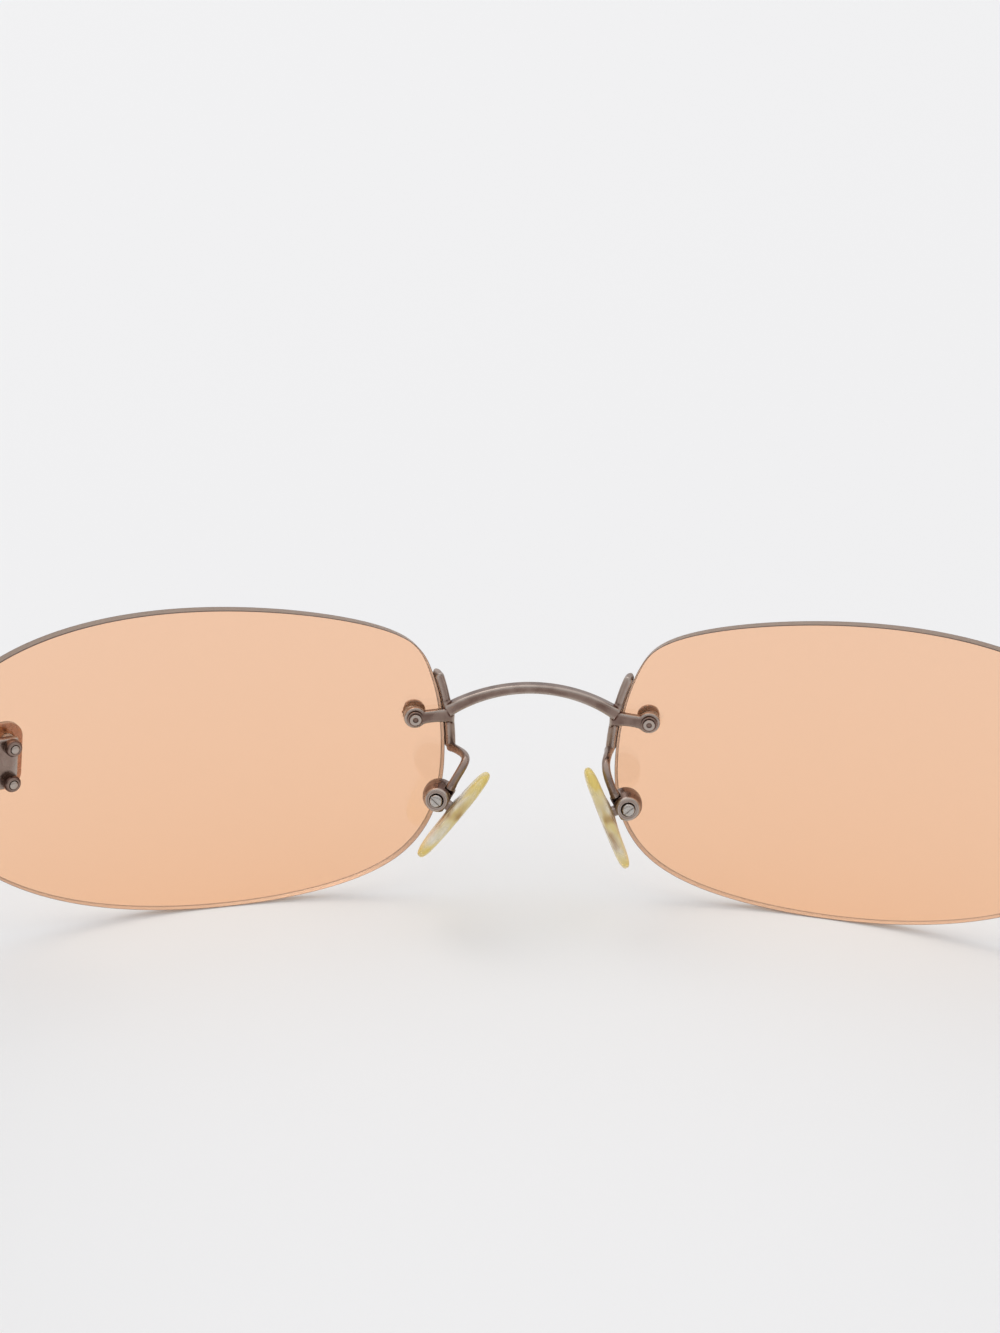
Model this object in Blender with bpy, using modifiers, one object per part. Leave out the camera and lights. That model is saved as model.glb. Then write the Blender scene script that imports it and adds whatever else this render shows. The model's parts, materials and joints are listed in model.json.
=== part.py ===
# Rimless sunglasses with two amber lenses, standing open on a table: they rest on the lower
# edges of the lenses and on the two temple tips.
# Metres. +X is the wearer's right, +Y is forward, away from the wearer, and +Z is up.
# The front is modelled upright in its own frame, where a lens's back face meets y = 0 at the nose
# and z = 0 is half way up a lens. Its empty then leans it until both ends of the glasses touch down.
# Every paired piece is modelled for the right side and mirrored for the left.

import math

import bmesh
import bpy
import numpy as np
from mathutils import Matrix, Vector

MM = 0.001

# Lenses: spherical caps of even thickness, cut to a long oval
LENS_WIDTH = 54.35 * MM
LENS_HEIGHT = 34.4 * MM
LENS_THICKNESS = 1.3 * MM
LENS_BACK_RADIUS = 110.0 * MM
LENS_CENTRE_SIDE = 5.0 * MM
LENS_CENTRE_DROP = 8.4 * MM
NOSE_GAP = 18.5 * MM
# Points of the outline, from the temple edge over the top: shares of the width, from the nose, and of the height
LENS_OUTLINE = (
    (1.000, 0.033),
    (0.871, 0.375),
    (0.527, 0.500),
    (0.148, 0.426),
    (0.031, 0.277),
    (0.000, 0.017),
    (0.097, -0.366),
    (0.509, -0.495),
    (0.860, -0.328),
)

# Clearances
FIT = 0.05 * MM
SEAT_GAP = 0.03 * MM
COLLAR_THICKNESS = 0.14 * MM
SLEEVE_WALL = 0.12 * MM

# Bridge screw, its nut, and the hole it takes in the lens
NOSE_HOLE_INSET = 3.4 * MM
NOSE_HOLE_HEIGHT = 4.3 * MM
BRIDGE_SCREW_RADIUS = 0.55 * MM
BRIDGE_HEAD_RADIUS = 1.3 * MM
BRIDGE_HEAD_THICKNESS = 0.5 * MM
BRIDGE_BORE_RADIUS = 0.32 * MM
BRIDGE_BORE_DEPTH = 0.5 * MM
BRIDGE_NUT_RADIUS = 0.85 * MM
BRIDGE_NUT_THICKNESS = 0.3 * MM
BRIDGE_SCREW_PROUD = 0.2 * MM
WASHER_THICKNESS = 0.18 * MM

# Bridge bar, straps and lugs
BRIDGE_CROWN_HEIGHT = 7.7 * MM
BRIDGE_END_HEIGHT = 5.5 * MM
BRIDGE_BAR_THICKNESS = 1.0 * MM
BRIDGE_BAR_DEPTH = 1.5 * MM
BRIDGE_BAR_FLARE = 0.3 * MM
STRAP_THICKNESS = 0.95 * MM
STRAP_TOP = 8.7 * MM
STRAP_BOTTOM = 0.9 * MM
STRAP_COVER = 1.1 * MM
LUG_THICKNESS = 0.75 * MM
LUG_EYE_RADIUS = 1.1 * MM
LUG_NECK = 1.55 * MM
LUG_ROOT = 1.8 * MM
LUG_RISE = 0.35 * MM

# Pad arms, boxes and pads. The box's axis runs back, and a little outward.
ARM_WIRE_RADIUS = 0.45 * MM
ARM_BACK_REACH = 3.3 * MM
ARM_END_RISE = 3.1 * MM
ARM_END_LEAN = 1.5 * MM
PAD_AXIS_BACK = 5.4 * MM
PAD_BOX_LENGTH = 2.4 * MM
PAD_BOX_RIM_RADIUS = 1.78 * MM
PAD_BOX_FACE_RADIUS = 1.3 * MM
PAD_BOX_FLAT = 1.2 * MM
PAD_SCREW_RADIUS = 0.34 * MM
PAD_HEAD_RADIUS = 0.68 * MM
PAD_HEAD_THICKNESS = 0.35 * MM
PAD_EYE_RADIUS = 1.0 * MM
PAD_EYE_THICKNESS = 1.0 * MM
PAD_LENGTH = 12.0 * MM
PAD_WIDTH = 6.4 * MM
PAD_THICKNESS = 1.4 * MM
PAD_STAND_OFF = 1.75 * MM
PAD_SLIDE_DOWN = 0.4 * MM
PAD_CORE_LENGTH = 6.2 * MM
PAD_CORE_WIDTH = 3.4 * MM
PAD_CORE_THICKNESS = 0.45 * MM
PAD_CORE_NECK = 0.9 * MM
PAD_LEAN_MIDDLE = 30.0

# Each arm is bent by hand and each pad rocks, so the sides differ: the pad's lean from upright, how
# far box and pad are turned to the wearer, the box's middle from the lens's nasal edge and below the
# lens's middle, and how far the arm swings to the nose
PAD_LEAN_RIGHT = 23.0
PAD_LEAN_LEFT = 36.0
PAD_SPLAY_RIGHT = 4.0
PAD_SPLAY_LEFT = 12.0
PAD_INSET_RIGHT = 1.02 * MM
PAD_INSET_LEFT = 0.72 * MM
PAD_DROP_RIGHT = 4.0 * MM
PAD_DROP_LEFT = 3.45 * MM
ARM_SWING_RIGHT = 0.5 * MM
ARM_SWING_LEFT = 2.1 * MM

# Front plaque, its posts, and the nuts that hold it and the end piece
POST_INSET = 8.3 * MM
POST_HEIGHT = 2.15 * MM
POST_SPACING = 4.0 * MM
POST_RADIUS = 0.45 * MM
PLAQUE_WIDTH = 4.2 * MM
PLAQUE_LENGTH = 7.6 * MM
PLAQUE_THICKNESS = 0.9 * MM
END_NUT_RADIUS = 0.8 * MM
END_NUT_HEIGHT = 1.0 * MM
POST_PROUD = 0.15 * MM

# End pieces and hinges
END_PLATE_THICKNESS = 0.9 * MM
END_PLATE_HEIGHT = 5.7 * MM
END_PLATE_INNER_REACH = 0.75 * MM
END_PLATE_WRAP_REACH = 1.0 * MM
END_BEND_RADIUS = 2.2 * MM
HINGE_SET_BACK = 3.9 * MM
HINGE_HEIGHT = 4.0 * MM
KNUCKLE_RADIUS = 1.15 * MM
MIDDLE_KNUCKLE_HEIGHT = 1.28 * MM
LEAF_LENGTH = 3.6 * MM
LEAF_INNER = 0.3 * MM
HINGE_PIN_RADIUS = 0.45 * MM
HINGE_HEAD_RADIUS = 0.85 * MM
HINGE_HEAD_THICKNESS = 0.4 * MM
HINGE_PLAY = 0.08 * MM
BUTT_GAP = 0.12 * MM

# Temples
TEMPLE_THICKNESS = 1.1 * MM
TEMPLE_FRONT_HEIGHT = 3.6 * MM
TEMPLE_REAR_HEIGHT = 2.3 * MM
TEMPLE_STRAIGHT = 95.0 * MM
TEMPLE_BEND_RADIUS = 25.0 * MM
TEMPLE_BEND_ANGLE = 40.0
TEMPLE_TIP_LENGTH = 22.0 * MM
TEMPLE_SLOPE = 8.0
CORE_WIDTH = 1.0 * MM
CORE_HEIGHT = 1.5 * MM
CORE_END_SHORT = 8.0 * MM
SLEEVE_START = 83.0 * MM
TIP_WIDTH = 3.0 * MM
TIP_HEIGHT = 4.6 * MM
TIP_MOUTH_WIDTH = 2.3 * MM
TIP_MOUTH_HEIGHT = 3.2 * MM

# Facets
ROUND_STEPS = 24
OUTLINE_STEPS = 10

MIRROR = Matrix.Diagonal((-1.0, 1.0, 1.0, 1.0))


def clear_scene():
    for obj in list(bpy.data.objects):
        bpy.data.objects.remove(obj, do_unlink=True)


def new_collection(name):
    collection = bpy.data.collections.new(name)
    bpy.context.scene.collection.children.link(collection)
    return collection


def new_material(name, colour, roughness, metallic=0.0, alpha=1.0):
    material = bpy.data.materials.new(name)
    material.use_nodes = True
    shader = material.node_tree.nodes["Principled BSDF"]
    shader.inputs["Base Color"].default_value = (*colour, 1.0)
    shader.inputs["Roughness"].default_value = roughness
    shader.inputs["Metallic"].default_value = metallic
    shader.inputs["Alpha"].default_value = alpha
    material.diffuse_color = (*colour, alpha)
    return material


# Mesh helpers

def new_object(data, matrix=None):
    obj = bpy.data.objects.new(data.name, data)
    bpy.context.scene.collection.objects.link(obj)
    if matrix is not None:
        obj.matrix_world = matrix
        bpy.context.view_layer.update()
    return obj


def evaluated_mesh(obj):
    graph = bpy.context.evaluated_depsgraph_get()
    return bpy.data.meshes.new_from_object(obj.evaluated_get(graph))


def apply_modifiers(obj):
    mesh = evaluated_mesh(obj)
    obj.modifiers.clear()
    obj.data = mesh
    return obj


def curve_to_mesh(obj):
    """The curve as a mesh object in the same place, with its caps welded on."""
    mesh = evaluated_mesh(obj)
    bm = bmesh.new()
    bm.from_mesh(mesh)
    bmesh.ops.remove_doubles(bm, verts=bm.verts, dist=0.001 * MM)
    bmesh.ops.recalc_face_normals(bm, faces=bm.faces)
    bm.to_mesh(mesh)
    bm.free()
    solid = new_object(mesh, obj.matrix_world.copy())
    bpy.data.objects.remove(obj)
    return solid


def combine(obj, other, operation):
    """Boolean of two solids. The second is used up."""
    bpy.context.view_layer.update()
    modifier = obj.modifiers.new("combine", "BOOLEAN")
    modifier.operation = operation
    modifier.object = other
    apply_modifiers(obj)
    bpy.data.objects.remove(other)
    return obj


def cut(obj, cutter):
    return combine(obj, cutter, "DIFFERENCE")


def join(obj, other):
    return combine(obj, other, "UNION")


def cylinder(radius, low, high, matrix, steps=ROUND_STEPS):
    """A rod along local Z from low to high."""
    mesh = bpy.data.meshes.new("rod")
    bm = bmesh.new()
    bmesh.ops.create_cone(
        bm, cap_ends=True, segments=steps, radius1=radius, radius2=radius, depth=high - low,
        matrix=Matrix.Translation((0, 0, (low + high) / 2)),
    )
    bm.to_mesh(mesh)
    bm.free()
    return new_object(mesh, matrix)


def block(low, high, matrix):
    """A box between two corners."""
    low, high = Vector(low), Vector(high)
    mesh = bpy.data.meshes.new("block")
    bm = bmesh.new()
    place = Matrix.Translation((low + high) / 2) @ Matrix.Diagonal((*(high - low), 1.0))
    bmesh.ops.create_cube(bm, size=1.0, matrix=place)
    bm.to_mesh(mesh)
    bm.free()
    return new_object(mesh, matrix)


def turned(profile, matrix, steps=ROUND_STEPS):
    """A profile of (radius, height) points, from the top down its outer side, turned about local Z."""
    mesh = bpy.data.meshes.new("turned")
    edges = [(i, i + 1) for i in range(len(profile) - 1)]
    mesh.from_pydata([(radius, 0, height) for radius, height in profile], edges, [])
    obj = new_object(mesh, matrix)
    screw = obj.modifiers.new("turn", "SCREW")
    screw.axis = "Z"
    screw.steps = steps
    screw.render_steps = steps
    screw.use_merge_vertices = True
    screw.merge_threshold = 0.001 * MM
    return apply_modifiers(obj)


def tube(outer, inner, low, high, matrix):
    """A ring along local Z from low to high."""
    profile = [(inner, high), (outer, high), (outer, low), (inner, low), (inner, high)]
    return turned(profile, matrix)


def plate(outline, low, high, matrix):
    """A flat outline in local XY, from low to high along local Z."""
    curve = bpy.data.curves.new("outline", "CURVE")
    curve.dimensions = "2D"
    curve.fill_mode = "BOTH"
    curve.extrude = (high - low) / 2
    spline = curve.splines.new("POLY")
    spline.points.add(len(outline) - 1)
    for point, (x, y) in zip(spline.points, outline):
        point.co = (x, y, 0, 1)
    spline.use_cyclic_u = True
    obj = new_object(curve, matrix @ Matrix.Translation((0, 0, (low + high) / 2)))
    return curve_to_mesh(obj)


def wire(points, radius, matrix):
    """A round wire through the points, with flat ends."""
    curve = bpy.data.curves.new("wire", "CURVE")
    curve.dimensions = "3D"
    curve.bevel_depth = radius
    curve.bevel_resolution = 3
    curve.use_fill_caps = True
    spline = curve.splines.new("POLY")
    spline.points.add(len(points) - 1)
    for point, place in zip(spline.points, points):
        point.co = (*place, 1)
    return curve_to_mesh(new_object(curve, matrix))


def rounded_section(width, height, corner, corner_points):
    """Points of a rounded rectangle, anticlockwise."""
    points = []
    for quarter, (sx, sy) in enumerate(((1, 1), (-1, 1), (-1, -1), (1, -1))):
        for i in range(corner_points):
            angle = (quarter + i / (corner_points - 1)) * math.pi / 2
            points.append((
                sx * (width / 2 - corner) + corner * math.cos(angle),
                sy * (height / 2 - corner) + corner * math.sin(angle),
            ))
    return points


def loft(stations):
    """A solid through sections of as many points: each station is a matrix and its section in local XY."""
    verts = [matrix @ Vector((x, y, 0)) for matrix, section in stations for x, y in section]
    count = len(stations[0][1])
    faces = [tuple(reversed(range(count)))]
    for ring in range(len(stations) - 1):
        for i in range(count):
            a, b = ring * count + i, ring * count + (i + 1) % count
            faces.append((a, b, b + count, a + count))
    last = (len(stations) - 1) * count
    faces.append(tuple(range(last, last + count)))
    mesh = bpy.data.meshes.new("loft")
    mesh.from_pydata(verts, [], faces)
    bm = bmesh.new()
    bm.from_mesh(mesh)
    bmesh.ops.recalc_face_normals(bm, faces=bm.faces)
    bm.to_mesh(mesh)
    bm.free()
    return new_object(mesh)


def closed_spline(points, steps):
    """The periodic cubic through the points: Hermite pieces whose slopes make its curvature continuous."""
    points = np.array(points)
    unit = np.eye(len(points))
    system = 4 * unit + np.roll(unit, 1, axis=1) + np.roll(unit, -1, axis=1)
    slopes = np.linalg.solve(system, 3 * (np.roll(points, -1, axis=0) - np.roll(points, 1, axis=0)))
    t = (np.arange(steps) / steps)[None, :, None]
    start, end = points[:, None], np.roll(points, -1, axis=0)[:, None]
    leave, arrive = slopes[:, None], np.roll(slopes, -1, axis=0)[:, None]
    curve = (2 * t**3 - 3 * t**2 + 1) * start + (t**3 - 2 * t**2 + t) * leave
    curve = curve + (3 * t**2 - 2 * t**3) * end + (t**3 - t**2) * arrive
    return curve.reshape(-1, 2)


def bezier(a, b, c, d, count):
    t = np.linspace(0, 1, count)[:, None]
    return (1 - t)**3 * a + 3 * (1 - t)**2 * t * b + 3 * (1 - t) * t**2 * c + t**3 * d


# Where things lie on a lens

def sphere_centre():
    nasal = NOSE_GAP / 2 - LENS_CENTRE_SIDE
    return Vector((LENS_CENTRE_SIDE, -math.sqrt(LENS_BACK_RADIUS**2 - nasal**2), -LENS_CENTRE_DROP))


def lens_frame(x, z):
    """Frame on the back face of the right lens: X outward, Y up, Z back towards the wearer."""
    centre = sphere_centre()
    dx, dz = x - centre.x, z - centre.z
    forward = Vector((dx, math.sqrt(LENS_BACK_RADIUS**2 - dx**2 - dz**2), dz)).normalized()
    outward = forward.cross(Vector((0, 0, 1))).normalized()
    up = outward.cross(forward)
    origin = centre + forward * LENS_BACK_RADIUS
    return Matrix.Translation(origin) @ Matrix((outward, up, -forward)).transposed().to_4x4()


def lens_outline():
    """The outline's (x, z) points in the front's frame."""
    shares = closed_spline(LENS_OUTLINE, OUTLINE_STEPS)
    return shares * (LENS_WIDTH, LENS_HEIGHT) + (NOSE_GAP / 2, 0)


def lens_middle_frame():
    return lens_frame(NOSE_GAP / 2 + LENS_WIDTH / 2, 0)


def in_lens_plane(points):
    """Points of the back face, given by x and z, in the lens's own flat frame."""
    inverse = lens_middle_frame().inverted()
    return [inverse @ lens_frame(x, z).translation for x, z in points]


def nose_hole_frame():
    return lens_frame(NOSE_GAP / 2 + NOSE_HOLE_INSET, NOSE_HOLE_HEIGHT)


def post_frame():
    return lens_frame(NOSE_GAP / 2 + LENS_WIDTH - POST_INSET, POST_HEIGHT)


def post_places():
    return [post_frame() @ Matrix.Translation((0, side * POST_SPACING / 2, 0)) for side in (1, -1)]


# The lens

def make_lens():
    frame = lens_middle_frame()
    outline = [(point.x, point.y) for point in in_lens_plane(lens_outline())]
    reach_x = max(abs(x) for x, _ in outline) * 1.1
    reach_y = max(abs(y) for _, y in outline) * 1.1
    bpy.ops.mesh.primitive_grid_add(x_subdivisions=18, y_subdivisions=11, size=2.0)
    lens = bpy.context.object
    for vertex in lens.data.vertices:
        x, y = vertex.co.x * reach_x, vertex.co.y * reach_y
        vertex.co = (x, y, LENS_BACK_RADIUS - math.sqrt(LENS_BACK_RADIUS**2 - x**2 - y**2))
    lens.matrix_world = frame
    wall = lens.modifiers.new("wall", "SOLIDIFY")
    wall.thickness = LENS_THICKNESS
    wall.offset = -1.0
    apply_modifiers(lens)
    sag = LENS_BACK_RADIUS - math.sqrt(LENS_BACK_RADIUS**2 - reach_x**2 - reach_y**2)
    blank = plate(outline, -LENS_THICKNESS * 2, sag + LENS_THICKNESS, frame)
    combine(lens, blank, "INTERSECT")
    hole_reach = LENS_THICKNESS * 2
    nose_hole = BRIDGE_SCREW_RADIUS + FIT + SLEEVE_WALL + FIT
    cut(lens, cylinder(nose_hole, -hole_reach, hole_reach, nose_hole_frame()))
    post_hole = POST_RADIUS + FIT + SLEEVE_WALL + FIT
    for place in post_places():
        cut(lens, cylinder(post_hole, -hole_reach, hole_reach, place))
    return lens


# What holds the bridge to the lens. Heights are behind the lens's back face.

def lug_seat():
    return COLLAR_THICKNESS + 2 * SEAT_GAP


def lug_back():
    return lug_seat() + LUG_THICKNESS


def bridge_head_face():
    return -LENS_THICKNESS - WASHER_THICKNESS - 2 * SEAT_GAP


def make_bridge_screw():
    face = bridge_head_face()
    end = lug_back() + SEAT_GAP + BRIDGE_NUT_THICKNESS + BRIDGE_SCREW_PROUD
    front = face - BRIDGE_HEAD_THICKNESS
    profile = [
        (0, end - BRIDGE_BORE_DEPTH),
        (BRIDGE_BORE_RADIUS, end - BRIDGE_BORE_DEPTH),
        (BRIDGE_BORE_RADIUS, end),
        (BRIDGE_SCREW_RADIUS, end),
        (BRIDGE_SCREW_RADIUS, face),
        (BRIDGE_HEAD_RADIUS, face),
        (BRIDGE_HEAD_RADIUS, face - BRIDGE_HEAD_THICKNESS * 0.45),
        (BRIDGE_HEAD_RADIUS * 0.85, front + BRIDGE_HEAD_THICKNESS * 0.12),
        (BRIDGE_HEAD_RADIUS * 0.5, front),
        (0, front),
    ]
    return turned(profile, nose_hole_frame())


def make_bridge_nut():
    low = lug_back() + SEAT_GAP
    return tube(BRIDGE_NUT_RADIUS, BRIDGE_SCREW_RADIUS + FIT, low, low + BRIDGE_NUT_THICKNESS,
                nose_hole_frame())


def make_bridge_washer():
    high = -LENS_THICKNESS - SEAT_GAP
    return tube(BRIDGE_HEAD_RADIUS, BRIDGE_SCREW_RADIUS + FIT, high - WASHER_THICKNESS, high,
                nose_hole_frame())


def sleeve(inner, collar_radius, matrix):
    """A clear bush that fills a lens hole, with a collar on the lens's back."""
    outer = inner + SLEEVE_WALL
    top = SEAT_GAP + COLLAR_THICKNESS
    profile = [
        (inner, top),
        (collar_radius, top),
        (collar_radius, SEAT_GAP),
        (outer, SEAT_GAP),
        (outer, -LENS_THICKNESS),
        (inner, -LENS_THICKNESS),
        (inner, top),
    ]
    return turned(profile, matrix)


def make_bridge_sleeve():
    return sleeve(BRIDGE_SCREW_RADIUS + FIT, LUG_EYE_RADIUS * 0.9, nose_hole_frame())


# Bridge strap with its lug, and the bridge bar

def nasal_edge(low, high, count):
    """Points of the lens's nasal edge between two heights, from the bottom up."""
    outline = lens_outline()
    nasal = outline[outline[:, 0] < NOSE_GAP / 2 + LENS_WIDTH * 0.3]
    nasal = nasal[np.argsort(nasal[:, 1])]
    heights = np.linspace(low, high, count)
    return np.stack([np.interp(heights, nasal[:, 1], nasal[:, 0]), heights], axis=1)


def band(points, near, far, arc_points=5):
    """A strip beside a line that runs upward, from near to far on its left, with round ends."""
    points = np.array(points)
    along = np.gradient(points, axis=0)
    along /= np.linalg.norm(along, axis=1)[:, None]
    left = np.stack([-along[:, 1], along[:, 0]], axis=1)
    radius = (far - near) / 2
    middle = points + left * (near + far) / 2
    turn = np.linspace(0, math.pi, arc_points + 2)[1:-1, None]
    top = middle[-1] - left[-1] * radius * np.cos(turn) + along[-1] * radius * np.sin(turn)
    foot = middle[0] + left[0] * radius * np.cos(turn) - along[0] * radius * np.sin(turn)
    right_side = points + left * near
    left_side = (points + left * far)[::-1]
    return np.concatenate([right_side, top, left_side, foot])


def strap_line():
    """The nasal edge along the strap and its depth behind the lens's flat frame."""
    edge = in_lens_plane(nasal_edge(STRAP_BOTTOM, STRAP_TOP, 9))
    depth = max(point.z for point in edge)
    return [(point.x, point.y) for point in edge], depth


def strap_back():
    return strap_line()[1] + lug_back() + SEAT_GAP


def make_bridge_strap():
    line, depth = strap_line()
    outline = band(line, FIT, FIT + STRAP_THICKNESS)
    strap = plate(outline, depth - STRAP_COVER, strap_back(), lens_middle_frame())
    frame = nose_hole_frame()
    root = -(NOSE_HOLE_INSET + FIT + STRAP_THICKNESS / 2)
    eye = LUG_EYE_RADIUS
    start = math.asin(LUG_NECK / 2 / eye)
    turn = np.linspace(math.pi - start, start - math.pi, 19)
    outline = [(eye * math.cos(a), eye * math.sin(a)) for a in turn]
    outline = [(root, LUG_RISE + LUG_ROOT / 2), (root * 0.75, LUG_RISE + LUG_NECK / 2)] + outline
    outline = outline + [(root * 0.75, LUG_RISE - LUG_NECK / 2), (root, LUG_RISE - LUG_ROOT / 2)]
    lug = plate(outline[::-1], lug_seat(), lug_back(), frame)
    cut(lug, cylinder(BRIDGE_SCREW_RADIUS + FIT, 0, lug_back() * 2, frame))
    return join(strap, lug)


def bar_back():
    """How far back the bridge bar's rear face lies."""
    edge = lens_frame(NOSE_GAP / 2, BRIDGE_END_HEIGHT).translation
    return edge.y - lug_back()


def make_bridge_bar():
    reach = NOSE_GAP / 2 + STRAP_THICKNESS
    rise = BRIDGE_CROWN_HEIGHT - BRIDGE_END_HEIGHT
    half = NOSE_GAP / 2 - STRAP_THICKNESS
    radius = (half**2 + rise**2) / (2 * rise)
    sweep = math.asin(min(reach / radius, 0.95))
    turn = np.linspace(-sweep, sweep, 25)[:, None]
    drop = BRIDGE_CROWN_HEIGHT - radius
    spread = (BRIDGE_BAR_THICKNESS + BRIDGE_BAR_FLARE * (turn / sweep)**2) / 2
    ray = np.concatenate([np.sin(turn), np.cos(turn)], axis=1)
    low = (radius - spread) * ray + (0, drop)
    high = (radius + spread) * ray + (0, drop)
    outline = np.concatenate([low, high[::-1]])
    # This frame's Z runs back, so that the outline is seen from behind as it is drawn
    seen_from_behind = Matrix.Rotation(math.radians(90), 4, "X")
    back = -bar_back()
    bar = plate(outline, back - BRIDGE_BAR_DEPTH, back, seen_from_behind)
    line, _ = strap_line()
    keep_out = band(line, -4 * STRAP_THICKNESS, FIT + STRAP_THICKNESS + FIT)
    for side in (Matrix.Identity(4), MIRROR):
        trimmer = plate(keep_out, -3 * strap_back(), 3 * strap_back(), lens_middle_frame())
        trimmer.matrix_world = side @ trimmer.matrix_world
        cut(bar, in_place(trimmer))
    return bar


def in_place(obj):
    """Puts an object's transform into its mesh and, where it mirrors, turns the faces out again."""
    obj.data.transform(obj.matrix_world)
    if obj.matrix_world.determinant() < 0:
        obj.data.flip_normals()
    obj.matrix_world = Matrix.Identity(4)
    return obj


# Pad arm, box and screw

def pad_place(side):
    """Upright frame in the middle of the pad box, turned to the wearer: X outward, Y along the box."""
    inset, drop, splay = PAD_INSET_RIGHT, PAD_DROP_RIGHT, PAD_SPLAY_RIGHT
    if side == "left":
        inset, drop, splay = PAD_INSET_LEFT, PAD_DROP_LEFT, PAD_SPLAY_LEFT
    place = Vector((NOSE_GAP / 2 + inset, -PAD_AXIS_BACK, -drop))
    return Matrix.Translation(place) @ Matrix.Rotation(math.radians(splay), 4, "Z")


def pad_axis_frame(side):
    """Frame on the pad screw: X outward, Y up, Z back."""
    return pad_place(side) @ Matrix.Rotation(math.radians(90), 4, "X")


def pad_frame(side, lean):
    """Frame on the pad screw: X up along the pad, Y forward, Z towards the nose."""
    lean = math.radians(lean)
    up = Vector((-math.sin(lean), 0, math.cos(lean)))
    forward = Vector((0, 1, 0))
    axes = Matrix((up, forward, up.cross(forward))).transposed().to_4x4()
    return pad_place(side) @ axes


def pad_rest_frame(side):
    return pad_frame(side, PAD_LEAN_LEFT if side == "left" else PAD_LEAN_RIGHT)


def make_pad_arm(side):
    line, _ = strap_line()
    foot = line[0]
    outward = Vector((line[1][0] - foot[0], line[1][1] - foot[1])).orthogonal().normalized()
    middle = FIT + STRAP_THICKNESS / 2
    start = lens_middle_frame() @ Vector((
        foot[0] - abs(outward.x) * middle, foot[1], strap_back() + FIT))
    frame = pad_frame(side, PAD_LEAN_MIDDLE)
    swing = ARM_SWING_LEFT if side == "left" else ARM_SWING_RIGHT
    rim = PAD_BOX_RIM_RADIUS + ARM_WIRE_RADIUS * 0.5
    end = frame @ Vector((rim * 0.97, 0, rim * 0.25))
    leave = start + Vector((-swing, -ARM_BACK_REACH, 0))
    arrive = end + Vector((-ARM_END_LEAN, 0, ARM_END_RISE))
    points = bezier(*(np.array(p) for p in (start, leave, arrive, end)), 15)
    arm = wire([tuple(p) for p in points], ARM_WIRE_RADIUS, Matrix.Identity(4))
    box = cylinder(PAD_BOX_RIM_RADIUS + FIT, -PAD_BOX_LENGTH, PAD_BOX_LENGTH, pad_axis_frame(side))
    return cut(arm, box)


def make_pad_box(side):
    frame = pad_axis_frame(side)
    half = PAD_BOX_LENGTH / 2
    rim, face = PAD_BOX_RIM_RADIUS, PAD_BOX_FACE_RADIUS
    hole = PAD_SCREW_RADIUS + FIT
    profile = [
        (hole, half),
        (face * 0.9, half),
        (face, half - 0.1 * face),
        (rim * 0.95, half * 0.1),
        (rim, -half * 0.4),
        (rim, -half),
        (hole, -half),
        (hole, half),
    ]
    box = turned(profile, frame)
    across = pad_frame(side, PAD_LEAN_MIDDLE)
    slot = PAD_EYE_THICKNESS / 2 + HINGE_PLAY
    big = 2 * rim
    cut(box, cylinder(PAD_EYE_RADIUS + 2 * FIT, -slot, slot, frame))
    cut(box, block((-big, -slot, 0), (big, slot, big), across))
    cut(box, block((-big, -big, PAD_BOX_FLAT), (big, big, big), across))
    return box


def slotted_screw(matrix, head_face, head_radius, head_thickness, shank_radius, end):
    """A screw along local Z whose head lies above head_face."""
    top = head_face + head_thickness
    profile = [
        (0, top),
        (head_radius * 0.85, top),
        (head_radius, top - head_thickness * 0.35),
        (head_radius, head_face),
        (shank_radius, head_face),
        (shank_radius, end),
        (0, end),
    ]
    screw = turned(profile, matrix)
    width, depth = head_radius * 0.16, head_thickness * 0.45
    groove = block((-2 * head_radius, -width, top - depth), (2 * head_radius, width, top + depth),
                   matrix @ Matrix.Rotation(math.radians(40), 4, "Z"))
    return cut(screw, groove)


def make_pad_screw(side):
    half = PAD_BOX_LENGTH / 2
    return slotted_screw(pad_axis_frame(side), half + SEAT_GAP, PAD_HEAD_RADIUS, PAD_HEAD_THICKNESS,
                         PAD_SCREW_RADIUS, -half + FIT)


# Nose pad, modelled in the pad's frame

def core_middle():
    return PAD_STAND_OFF + PAD_THICKNESS * 0.45


def core_plate(frame, grow):
    """The insert's plate, or with grow its pocket in the pad."""
    length, width = PAD_CORE_LENGTH + 2 * grow, PAD_CORE_WIDTH + 2 * grow
    low = core_middle() - PAD_CORE_THICKNESS / 2 - grow
    high = core_middle() + PAD_CORE_THICKNESS / 2 + grow
    outline = rounded_section(length, width, width * 0.3, 4)
    return plate(outline, low, high, frame @ Matrix.Translation((-PAD_SLIDE_DOWN, 0, 0)))


def core_neck(frame, grow, low):
    half, thick = PAD_CORE_NECK / 2 + grow, PAD_EYE_THICKNESS / 2 + grow
    return block((-half, -thick, low), (half, thick, core_middle()), frame)


def make_pad_core(side):
    frame = pad_rest_frame(side)
    core = core_plate(frame, 0)
    join(core, core_neck(frame, 0, PAD_EYE_RADIUS * 0.6))
    half = PAD_EYE_THICKNESS / 2
    pivot = pad_axis_frame(side)
    join(core, cylinder(PAD_EYE_RADIUS, -half, half, pivot))
    return cut(core, cylinder(PAD_SCREW_RADIUS + FIT, -2 * half, 2 * half, pivot))


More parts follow.
